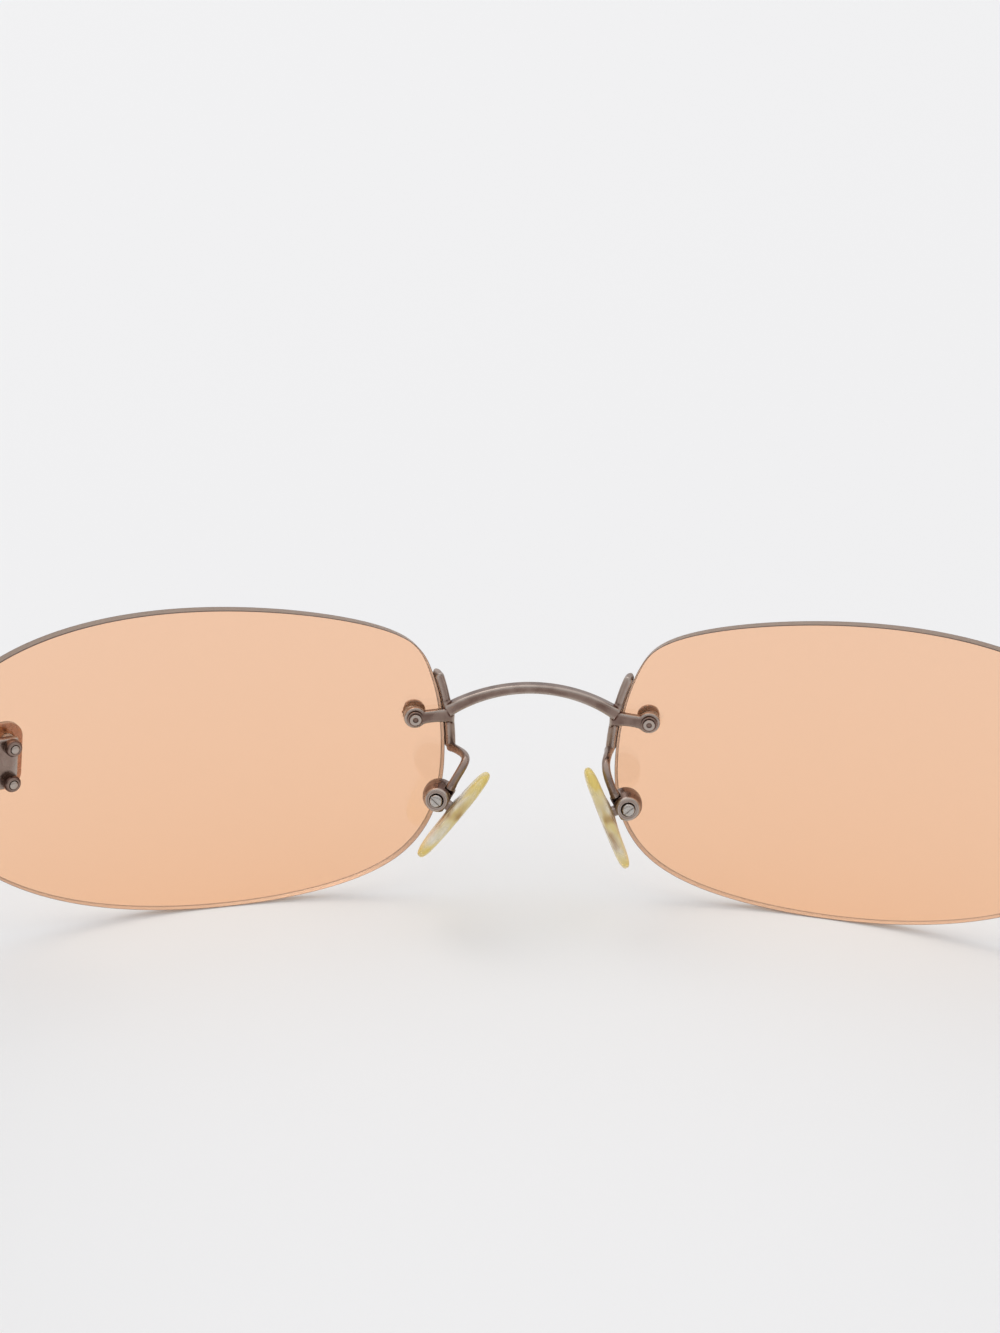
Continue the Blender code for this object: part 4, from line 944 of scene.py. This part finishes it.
def padPlace(side):
    # upright in the middle of the box, turned to the wearer: X outward, Y along the box
    hand = padSides[side]
    return shift(nasal + hand["inset"], -padSize["axisBack"], -hand["drop"]) @ turnAbout("Z", hand["splay"])


def padAxis(side):
    # on the pad's screw: X outward, Y up, Z back
    return padPlace(side) @ turnAbout("X", 90)


def padFrame(side, lean):
    # on the pad's screw: X up along the pad, Y forward, Z towards the nose
    lean = math.radians(lean)
    up, forward = np.array([-math.sin(lean), 0, math.cos(lean)]), np.array([0, 1, 0])
    return padPlace(side) @ axesAt((0, 0, 0), up, forward, np.cross(up, forward))


def armShells(side):
    # a round wire along one cubic, drawn out a little where it is brazed to the strap and to the box
    s = padSize
    foot = strapEdge[0]
    way = strapEdge[1, :2] - strapEdge[0, :2]
    outward = unit(np.array([-way[1], way[0]]))
    inset = abs(outward[0]) * (fit + bridgeSize["strapThickness"] / 2)
    start = put(np.array([foot[0] - inset, foot[1], strapBack + fit]), lensMiddle)
    middle = padFrame(side, s["leanMiddle"])
    rim = s["rimRadius"] + s["wireRadius"] / 2
    end = put(np.array([rim * 0.97, 0, rim * 0.25]), middle)
    leave = start + (-padSides[side]["swing"], -s["backReach"], 0)
    arrive = end + (-s["endLean"], 0, s["endRise"])
    line = bezier(start, leave, arrive, end, 90)
    line = np.concatenate([line[:1] - unit(leave - start) * 0.35, line, line[-1:] + unit(end - arrive) * 0.4])
    along = unit(np.gradient(line, axis=0))
    across = unit(np.cross(along, (1, 0, 0)))
    upward = np.cross(along, across)
    travel = np.concatenate([[0], np.cumsum(np.linalg.norm(np.diff(line, axis=0), axis=1))])
    radius = s["wireRadius"] + s["brazing"] * np.exp(-((travel - 0.35) / 0.2).clip(0))
    radius = radius + s["brazing"] * np.exp(-((travel[-1] - 0.5 - travel) / 0.2).clip(0))
    turn = np.linspace(0, 2 * math.pi, 40, endpoint=False)
    section = np.stack([np.cos(turn), np.sin(turn)], axis=1)[None] * radius[:, None, None]
    return [sweep(line, across, upward, section)]


def makePadBox(side):
    # a turned cup, its outer face stepped, cut by a slot for the pad's eye and flat on the pad's side
    s = padSize
    axis, across = padAxis(side), padFrame(side, s["leanMiddle"])
    half, rim, face = s["boxLength"] / 2, s["rimRadius"], s["faceRadius"]
    hole = s["screwRadius"] + fit
    profile = [(hole, half), (face * 0.9, half), (face, half - 0.1 * face), (rim * 0.95, half * 0.1),
               (rim, -half * 0.4), (rim, -half), (hole, -half)]
    profile = roundCorners(profile, 0.12, 3, closed=True)
    piece = newObject(f"pad_box_{side}_turned", [turned(profile, axis, 72, ring=True)], side)
    slot, big = s["eyeThickness"] / 2 + s["play"], 2 * rim
    cutters = [
        rod(s["eyeRadius"] + 2 * fit, -slot, slot, axis),
        box((-big, -slot, 0), (big, slot, big), across),
        box((-big, -big, s["flat"]), (big, big, big), across),
        turned([(s["headRadius"] + 0.09, half - 0.14), (s["headRadius"] + 0.09, half + 1)], axis),
    ]
    combined(piece, "DIFFERENCE", cutters, side)
    melted(piece, s["boxGrain"], 3)
    plated(smoothed(piece, 60, False), "front", f"pad_box_{side}", rest=0.9)
    # the box's face towards the wearer: rubbed barer, with a painted highlight
    return rubbedAndHighlit(piece, axis, side, half - 0.3, 0.4)


def slottedScrew(node, place, face, headRadius, headThickness, shankRadius, end, side, grain):
    # a low domed head with a driver slot, and its plain shank
    top = face + headThickness
    profile = roundCorners([
        (0.01, top), (headRadius * 0.6, top), (headRadius * 0.9, top - headThickness * 0.16),
        (headRadius, top - headThickness * 0.42), (headRadius, face), (shankRadius, face), (shankRadius, end),
        (0.01, end),
    ], 0.06, 4)
    piece = newObject(f"{node}_{side}_turned", [turned(profile, place, 72)], side)
    reach, width, depth = 2 * headRadius, headRadius * 0.16, headThickness * 0.5
    groove = box((-reach, -width, top - depth), (reach, width, top + depth), place @ turnAbout("Z", 40))
    combined(piece, "DIFFERENCE", [groove], side)
    smoothed(melted(piece, grain, 2), 50, False)
    return fitted(piece, "front", "bright_steel", steel, f"{node}_{side}")


def makePadScrew(side):
    s = padSize
    half = s["boxLength"] / 2
    return slottedScrew("pad_screw", padAxis(side), half + seat, s["headRadius"], s["headThickness"],
                        s["screwRadius"], -half + fit, side, s["screwGrain"])


def coreMiddle():
    return padSize["standOff"] + padSize["thickness"] * 0.45


def makePadCore(side):
    # a stamped plate inside the pad, with two windows that the silicone fills, and a neck with a round eye on
    # the screw
    s = padSize
    rest, axis = padFrame(side, padSides[side]["lean"]), padAxis(side)
    length, width, thick = s["core"]
    middle = rest @ shift(-s["slideDown"], 0, coreMiddle())
    plate = slab(roundedSection(length, width, width * 0.3, 8)[0], -thick / 2, thick / 2, middle, 0.1)
    wide, high = length / 2 - s["coreFrame"] - s["corePost"], width - 2 * s["coreFrame"]
    window = roundedSection(1.0, 1.0, 0.3, 6)[0] * (wide, high)
    away = s["corePost"] + wide / 2
    windows = [slab(window + (way * away, 0), -thick, thick, middle, 0.01) for way in (1, -1)]
    neckHalf, half = s["coreNeck"] / 2, s["eyeThickness"] / 2
    neck = box((-neckHalf, -half, s["eyeRadius"] * 0.6), (neckHalf, half, coreMiddle()), rest)
    piece = newObject(f"pad_core_{side}_stamped", [plate], side)
    combined(piece, "DIFFERENCE", windows, side)
    combined(piece, "UNION", [neck, rod(s["eyeRadius"], -half, half, axis)], side)
    combined(piece, "DIFFERENCE", [rod(s["screwRadius"] + fit, -2 * half, 2 * half, axis)], side)
    melted(piece, s["coreGrain"], 3)
    return plated(smoothed(piece, 60, False), f"pad_{side}", f"pad_core_{side}")


def padShells(side):
    # a flat plate with round edges: the outline is a superellipse, narrower at the upper end, the height over
    # it another superellipse, and a low mound on the inner face holds the insert's neck
    s = padSize
    around = np.linspace(0, 2 * math.pi, 192, endpoint=False)[None]
    over = np.linspace(0.03, math.pi - 0.03, 97)[:, None]
    outX = np.sign(np.cos(around)) * np.abs(np.cos(around))**s["outlinePower"]
    outY = np.sign(np.sin(around)) * np.abs(np.sin(around))**s["outlinePower"]
    share = np.sin(over)**s["edgePower"]
    lift = np.sign(np.cos(over)) * np.abs(np.cos(over))**s["facePower"]
    x = s["length"] / 2 * outX * share
    y = s["width"] / 2 * outY * share * (1 - s["taper"] * outX * share)
    z = s["thickness"] / 2 * lift + 0 * around
    height, long, wide = s["mound"]
    z = z - height * np.exp(-(((x - s["slideDown"]) / long)**2 + (y / wide)**2)) * (lift < 0)
    rows = np.stack([x - s["slideDown"], y, z + s["standOff"] + s["thickness"] / 2], axis=-1)
    return [gridShell(put(rows, padFrame(side, padSides[side]["lean"])))]


def makePad(side):
    piece = newObject(f"nose_pad_{side}_moulded", padShells(side), side)
    return fitted(smoothed(piece, 60, False), f"pad_{side}", "aged_silicone", silicone, f"nose_pad_{side}")


def makeArm(side):
    piece = newObject(f"pad_arm_{side}_wire", armShells(side), side)
    return plated(smoothed(piece, 50, False), "front", f"pad_arm_{side}", rest=0.6)


# Plaque, end piece and their nuts

endSize = {
    "postRadius": 0.45,
    "plaque": (4.2, 7.6, 0.9),
    # how far each ring of the plaque is drawn in, and how far it stands behind the front: the seat, the
    # side, the bead and the field
    "plaqueRings": ((0.10, 0.90), (0.02, 0.86), (0.00, 0.80), (0.00, 0.42), (0.03, 0.24), (0.09, 0.10),
                    (0.19, 0.02), (0.33, 0.00), (0.47, 0.03), (0.58, 0.11), (0.66, 0.20), (0.75, 0.23),
                    (0.95, 0.20), (1.35, 0.15), (1.75, 0.12), (2.00, 0.11)),
    "nutRadius": 0.92,
    "nutHeight": 1.0,
    "postProud": 0.15,
    "plateThickness": 0.9,
    "plateHeight": 5.7,
    "innerReach": 0.75,
    "wrapReach": 1.0,
    "bendRadius": 2.2,
    "setBack": 3.9,
    "hingeHeight": 4.0,
    "templeThickness": 1.1,
    "corner": 0.26,
    "ease": 0.22,
}
endBack = metalSeat + endSize["plateThickness"]


def plaqueShells():
    # a plain oblong plaque: a rounded bead runs round a slightly sunk, gently domed field
    width, length, thick = endSize["plaque"]
    high = -lensSize["thickness"] - 2 * seat
    draw, height = np.array(endSize["plaqueRings"]).T
    height = high - thick + height
    section = roundedSection(width - 2 * draw, length - 2 * draw, np.maximum(width * 0.42 - draw, 0.02), 12)
    rows = np.concatenate([section, np.broadcast_to(height[:, None, None], (*section.shape[:2], 1))], axis=-1)
    shells = [gridShell(put(rows, post))]
    end, foot = endBack + seat + endSize["nutHeight"] + endSize["postProud"], high - 0.1
    radius = endSize["postRadius"]
    corners = [(0.02, end), (radius * 0.6, end - 0.02), (radius, end - 0.1), (radius, foot), (0.02, foot)]
    return shells + [turned(roundCorners(corners, 0.06, 4), place, 48) for place in postPlaces.values()]


def planFrame(heading):
    # upright, with Z against the heading and Y up
    travel, up = np.array([math.cos(heading), -math.sin(heading), 0]), np.array([0.0, 0.0, 1.0])
    return axesAt((0, 0, 0), np.cross(up, -travel), up, -travel)


def endPath(plateSteps=7, bendSteps=5):
    # stations along the end piece: along the lens's back, round one bend, then straight back to the hinge
    s = endSize
    offset = metalSeat + s["plateThickness"] / 2
    inner = nasal + lensSize["width"] - lensSize["postInset"] - s["innerReach"]
    outer = nasal + lensSize["width"] + s["wrapReach"]
    places, heights, widths = [], [], []
    for share in np.linspace(0, 1, plateSteps):
        taper = min(max((share - 0.35) / 0.5, 0), 1)
        onLens = lensFrame(inner + (outer - inner) * share, lensSize["postHeight"])
        places.append(onLens @ shift(0, 0, offset) @ turnAbout("Y", -90))
        heights.append(s["plateHeight"] + (s["hingeHeight"] - s["plateHeight"]) * taper)
        widths.append(s["plateThickness"])
    travel = -places[-1][:3, 2]
    heading = math.atan2(-travel[1], travel[0])
    corner = places[-1][:3, 3]
    for share in np.linspace(0, 1, bendSteps)[1:]:
        angle = heading + (math.pi / 2 - heading) * share
        x = corner[0] + s["bendRadius"] * (math.sin(angle) - math.sin(heading))
        y = corner[1] - s["bendRadius"] * (math.cos(heading) - math.cos(angle))
        places.append(shift(x, y, lensSize["postHeight"]) @ planFrame(angle))
        heights.append(s["hingeHeight"])
        widths.append(s["plateThickness"])
    places.append(shift(0, -s["setBack"], 0) @ places[-1])
    heights.append(s["hingeHeight"])
    widths.append(s["templeThickness"])
    return np.array(places), np.array(heights), np.array(widths)


endStations = endPath()[0]


def endPieceShells():
    # sections with round corners along the path; the inner end is eased over its last bit
    places, heights, widths = endPath(30, 16)
    tail = places[-2][None].repeat(9, axis=0)
    t = np.linspace(0, 1, 10)[1:]
    tail[:, :3, 3] = places[-2, :3, 3] + (places[-1, :3, 3] - places[-2, :3, 3]) * t[:, None]
    places = np.concatenate([places[:-1], tail])
    heights = np.concatenate([heights[:-1], np.full(9, heights[-1])])
    widths = np.concatenate([widths[:-1], widths[-2] + (widths[-1] - widths[-2]) * t])
    lead = places[:1].repeat(4, axis=0)
    turn = np.linspace(0, math.pi / 2, 5)[:4]
    drawn, ahead = endSize["ease"] * (1 - np.sin(turn)), endSize["ease"] * np.cos(turn)
    lead[:, :3, 3] += places[0, :3, 2] * ahead[:, None] - places[0, :3, 2] * endSize["ease"]
    places = np.concatenate([lead, places[1:]])
    heights = np.concatenate([heights[0] - 2 * drawn, heights[1:]])
    widths = np.concatenate([widths[0] - 2 * drawn, widths[1:]])
    section = roundedSection(widths, heights, endSize["corner"], 8)
    return [sweep(places[:, :3, 3], places[:, :3, 0], places[:, :3, 1], section)]


def nutProfile():
    # a small domed cap nut, open at the top
    low, radius, inner = endBack + seat, endSize["nutRadius"], endSize["postRadius"] + threadGap
    top = low + endSize["nutHeight"]
    return roundCorners([
        (inner, low), (radius, low), (radius, top - 0.3), (radius * 0.82, top - 0.06), (radius * 0.66, top),
        (inner, top - 0.06),
    ], 0.14, 5, closed=True)


def makeEnd(side):
    # plaque, end piece, nuts and bushes
    plaque = newObject(f"plaque_{side}_struck", plaqueShells(), side)
    plated(smoothed(plaque, 40), "front", f"plaque_{side}")
    # the post ends beyond the nuts: rubbed barer, with a painted highlight
    rubbedAndHighlit(plaque, post, side, endBack + endSize["nutHeight"], 0.5)
    piece = newObject(f"end_piece_{side}_bent", endPieceShells(), side)
    plated(smoothed(piece, 50), "front", f"end_piece_{side}", rest=0.85)
    for row, place in postPlaces.items():
        nut = newObject(f"end_nut_{side}_{row}_turned", [turned(nutProfile(), place, 72, ring=True)], side)
        plated(smoothed(nut), "front", f"end_nut_{side}_{row}", rest=2.6)
        bush = sleeveShell(endSize["postRadius"] + fit, endSize["nutRadius"], place)
        moulded(f"end_sleeve_{side}_{row}", bush, side)


# Hinges

hingeSize = {
    "knuckleRadius": 1.15,
    "middleKnuckle": 1.28,
    "leafLength": 3.6,
    "leafInner": 0.3,
    "pinRadius": 0.45,
    "headRadius": 0.85,
    "headThickness": 0.4,
    "play": 0.08,
    "buttGap": 0.12,
    "flush": 0.02,    # leaves stay this much lower than knuckles, so that no two of their faces share a plane
    "meltGrain": 0.055,
    "screwGrain": 0.035,
}
pinOut = hingeSize["knuckleRadius"] + 2 * fit + endSize["templeThickness"] / 2
hinge = shift(endStations[-1, 0, 3] - pinOut, endStations[-1, 1, 3] - hingeSize["buttGap"] / 2,
              lensSize["postHeight"])
# where the front's frame stands in the world, in metres
frontPlace = np.array(joints["temple_fold_right"]["pos_m"]) - frontTurn @ hinge[:3, 3] * mm


def milled(piece, body, node):
    melted(piece, hingeSize["meltGrain"], 3)
    return plated(smoothed(piece, 60, False), body, node)


def pinBore():
    return rod(hingeSize["pinRadius"] + fit, -endSize["hingeHeight"], endSize["hingeHeight"], hinge)


def makeFrontHinge(side):
    # a leaf with two knuckles and the slot of the middle one
    s = hingeSize
    half, room, outer = endSize["hingeHeight"] / 2, s["knuckleRadius"] + 3 * fit, s["knuckleRadius"] + fit
    slot, low = s["middleKnuckle"] / 2 + s["play"], half - s["flush"]
    leaf = box((s["leafInner"], 0, -low), (outer, s["leafLength"], low), hinge)
    piece = newObject(f"front_hinge_{side}_milled", [leaf], side)
    combined(piece, "UNION", [rod(s["knuckleRadius"], -half, half, hinge)], side)
    gap = box((-2 * room, -2 * room, -slot), (2 * room, room, slot), hinge)
    combined(piece, "DIFFERENCE", [gap, pinBore()], side)
    return milled(piece, "front", f"front_hinge_{side}")


def makeRearHinge(side):
    # a leaf with the middle knuckle
    s = hingeSize
    half, room, outer = endSize["hingeHeight"] / 2, s["knuckleRadius"] + 3 * fit, s["knuckleRadius"] + fit
    middle, inner = s["middleKnuckle"] / 2, s["leafInner"]
    low = middle - s["flush"]
    leaf = box((inner, -s["leafLength"], -half), (outer, -room, half), hinge)
    tongue = box((inner, -room * 1.2, -low), (outer - s["flush"] / 2, -s["buttGap"] / 2, low), hinge)
    piece = newObject(f"rear_hinge_{side}_milled", [leaf], side)
    combined(piece, "UNION", [tongue, rod(s["knuckleRadius"], -middle, middle, hinge)], side)
    combined(piece, "DIFFERENCE", [pinBore()], side)
    return milled(piece, f"temple_{side}", f"rear_hinge_{side}")


def makeHingeScrew(side):
    s = hingeSize
    half = endSize["hingeHeight"] / 2
    return slottedScrew("hinge_screw", hinge, half + seat, s["headRadius"], s["headThickness"],
                        s["pinRadius"], -half + fit, side, s["screwGrain"])


# Temples and tips

templeSize = {
    "corner": 0.24,
    "frontHeight": 3.6,
    "rearHeight": 2.3,
    "straight": 95.0,
    "bendRadius": 25.0,
    "bendAngle": 40.0,
    "tipLength": 22.0,
    "slope": 8.0,
    "core": (1.0, 1.5),
    "coreEndShort": 8.0,
    "sleeveStart": 83.0,
    "tip": (3.0, 4.6),
    "tipMouth": (2.3, 3.2),
}
bendLength = templeSize["bendRadius"] * math.radians(templeSize["bendAngle"])
templeEnd = templeSize["straight"] + bendLength + templeSize["tipLength"]


def templeFrames(distance):
    # distances along a straight, one arc and a straight again, as places with X outward, Y across and Z back
    s = templeSize
    distance = np.asarray(distance, float)
    bend = math.radians(s["bendAngle"])
    past = (distance - s["straight"]).clip(0)
    angle = np.minimum(past / s["bendRadius"], bend)
    rest = past - s["bendRadius"] * angle
    along = np.minimum(distance, s["straight"]) + s["bendRadius"] * np.sin(angle) + rest * math.cos(bend)
    down = s["bendRadius"] * (1 - np.cos(angle)) + rest * math.sin(bend)
    run = hinge @ shift(pinOut, -hingeSize["buttGap"] / 2, 0) @ turnAbout("X", s["slope"])
    centres = put(np.stack([0 * along, -along, -down], axis=1), run)
    turn = angle + math.pi / 2
    across = np.broadcast_to(run[:3, 0], centres.shape)
    upward = np.stack([0 * turn, np.cos(turn), np.sin(turn)], axis=1) @ run[:3, :3].T
    return centres, across, upward


def templeShells():
    # the flat bar tapers evenly from a square end at the hinge; inside the sleeve it goes on as the core wire
    s = templeSize
    thick, bar = endSize["templeThickness"], s["sleeveStart"] - 3 * fit
    square = hinge @ shift(pinOut, -hingeSize["buttGap"] / 2, 0)
    first = roundedSection(thick, endSize["hingeHeight"], s["corner"], 8)
    start = put(np.concatenate([first[0][:, :1], 0 * first[0][:, :1], first[0][:, 1:]], axis=1), square)
    share = np.linspace(0.05, 1, 60)
    centres, across, upward = templeFrames(bar * share)
    height = s["frontHeight"] + (s["rearHeight"] - s["frontHeight"]) * share
    section = roundedSection(thick, height, s["corner"], 8)
    rows = centres[:, None] + section[..., :1] * across[:, None] + section[..., 1:] * upward[:, None]
    t = np.linspace(0, 1, 12, endpoint=False)[:, None, None]
    rows = np.concatenate([(1 - t) * start[None] + t * rows[:1], rows])
    middle = rows[0].mean(axis=0)
    lead = middle + (rows[0] - middle) * (0.8, 1, 0.94)
    rows = np.concatenate([lead[None], rows[:1] + (0, -0.12, 0), rows[1:]])
    blunt = rows[-1].mean(axis=0)
    rows = np.concatenate([rows, (blunt + (rows[-1] - blunt) * 0.86 + (0, -0.08, 0))[None]])
    core = templeFrames(np.linspace(bar - 1, templeEnd - s["coreEndShort"], 50))
    return [gridShell(rows), sweep(*core, roundedSection(np.full(50, s["core"][0]), s["core"][1], 0.25, 5))]


def tipShells():
    # a soft sleeve that swells to the bend and ends in a round nose
    s = templeSize
    mouth, full = s["tipMouth"], s["tip"]
    start = s["sleeveStart"]
    body = np.linspace(start + full[0], templeEnd - full[1], 80)
    distance = np.concatenate([start + np.array([0, 0.05, 0.15]), body])
    share = ((distance - start) / (s["straight"] - start)).clip(0, 1)
    share[:3] = 0
    width, height = mouth[0] + (full[0] - mouth[0]) * share, mouth[1] + (full[1] - mouth[1]) * share
    shrink = np.ones_like(distance)
    shrink[:2] = 0.86, 0.95
    angle = np.radians(np.linspace(8, 86, 16))
    distance = np.concatenate([distance, templeEnd - full[1] * (1 - np.sin(angle))])
    width = np.concatenate([width * shrink, full[0] * np.cos(angle)])
    height = np.concatenate([height * shrink, full[1] * np.cos(angle)])
    section = roundedSection(width, height, np.minimum(width, height) * 0.42, 8)
    return [sweep(*templeFrames(distance), section)]


def makeTemple(side):
    bar = newObject(f"temple_{side}_bar", templeShells(), side)
    plated(smoothed(bar, 50), f"temple_{side}", f"temple_{side}", rest=-0.3)
    tip = newObject(f"temple_tip_{side}_moulded", tipShells(), side)
    fitted(smoothed(tip, 60, False), f"temple_{side}", "brown_acetate", acetate, f"temple_tip_{side}")


# Every piece in place

shell = lensShell()
for side in sides:
    makeLens(side, shell)
print("lenses made")

for side in sides:
    makeNoseFastening(side)
makeBridge()
print("bridge made")

for side in sides:
    makeArm(side)
    makePadBox(side)
    makePadScrew(side)
    makePadCore(side)
    makePad(side)
print("pads made")

for side in sides:
    makeEnd(side)
print("end pieces made")

for side in sides:
    makeFrontHinge(side)
    makeRearHinge(side)
    makeHingeScrew(side)
    makeTemple(side)
print("temples made")


# Table, light and camera

def makeFloor():
    # a wide pale table, matt
    mesh = bpy.data.meshes.new("table_top")
    mesh.from_pydata([(-12, -12, 0), (12, -12, 0), (12, 12, 0), (-12, 12, 0)], [], [(0, 1, 2, 3)])
    floor = bpy.data.objects.new("table_top", mesh)
    bpy.context.scene.collection.objects.link(floor)
    paint = {"Base Color": (0.87, 0.882, 0.887, 1), "Roughness": 0.85, "Specular IOR Level": 0.2}
    mesh.materials.append(surfaced(newMaterial("paintedTable"), paint))


def makeWorld():
    # a pale studio, a little darker low down on the wearer's side, where the camera stands
    world = bpy.data.worlds.new("paleStudio")
    bpy.context.scene.world = world
    world.use_nodes = True
    world.node_tree.nodes.clear()
    place = addNode(world, "TexCoord")
    axes = addNode(world, "SeparateXYZ", links={"Vector": (place, "Generated")})
    height = ranged(world, (axes, "Z"), (-0.1, 0.8), (0.63, 1.1), soft=True)
    depth = ranged(world, (axes, "Y"), (-1.0, 0.6), (0.74, 1.0), soft=True)
    level = worked(world, "MULTIPLY", height, depth)
    light = addNode(world, "Background", {"Color": (1.0, 0.985, 0.99, 1)}, {"Strength": level})
    addNode(world, "OutputWorld", links={"Surface": (light, "Background")})


def addLamp(name, place, target, size, power):
    # an oblong softbox that faces the target
    data = bpy.data.lights.new(name, "AREA")
    data.shape, data.size, data.size_y, data.energy = "RECTANGLE", size[0], size[1], power
    lamp = bpy.data.objects.new(name, data)
    bpy.context.scene.collection.objects.link(lamp)
    away = unit(np.array(place) - np.array(target))
    side = unit(np.cross((0, 0, 1), away))
    lamp.matrix_world = Matrix(axesAt(place, side, np.cross(away, side), away).tolist())


cameraPlace = {
    # in the front's frame
    "at": (-25.69, -381.84, 126.75),
    "target": (-3.61, 0.0, 9.67),
    "roll": -2.30,
    # focal length in pixels of a picture 1000 wide and 1333 high
    "pixelsPerLength": 3723.2,
}


def makeCamera():
    s = cameraPlace
    away = unit(np.array(s["at"]) - np.array(s["target"]))
    side = unit(np.cross((0, 0, 1), away))
    up = np.cross(away, side)
    roll = math.radians(s["roll"])
    across = math.cos(roll) * side - math.sin(roll) * up
    upward = math.sin(roll) * side + math.cos(roll) * up
    local = np.stack([across, upward, away], axis=1)
    turn, at = frontTurn @ local, frontPlace + frontTurn @ np.array(s["at"]) * mm
    data = bpy.data.cameras.new("photo_camera")
    data.sensor_width = 36.0
    data.lens = s["pixelsPerLength"] * 36.0 / 1333
    data.clip_start, data.clip_end = 0.01, 50.0
    camera = bpy.data.objects.new("photo_camera", data)
    bpy.context.scene.collection.objects.link(camera)
    camera.matrix_world = Matrix(axesAt(at, turn[:, 0], turn[:, 1], turn[:, 2]).tolist())
    bpy.context.scene.camera = camera


makeFloor()
makeWorld()
makeCamera()
addLamp("large_softbox", (-0.5, 0.9, 1.5), (0, 0.05, 0.01), (0.9, 0.9), 3.0)
bpy.context.scene.view_settings.view_transform = "Standard"
print("stage made")
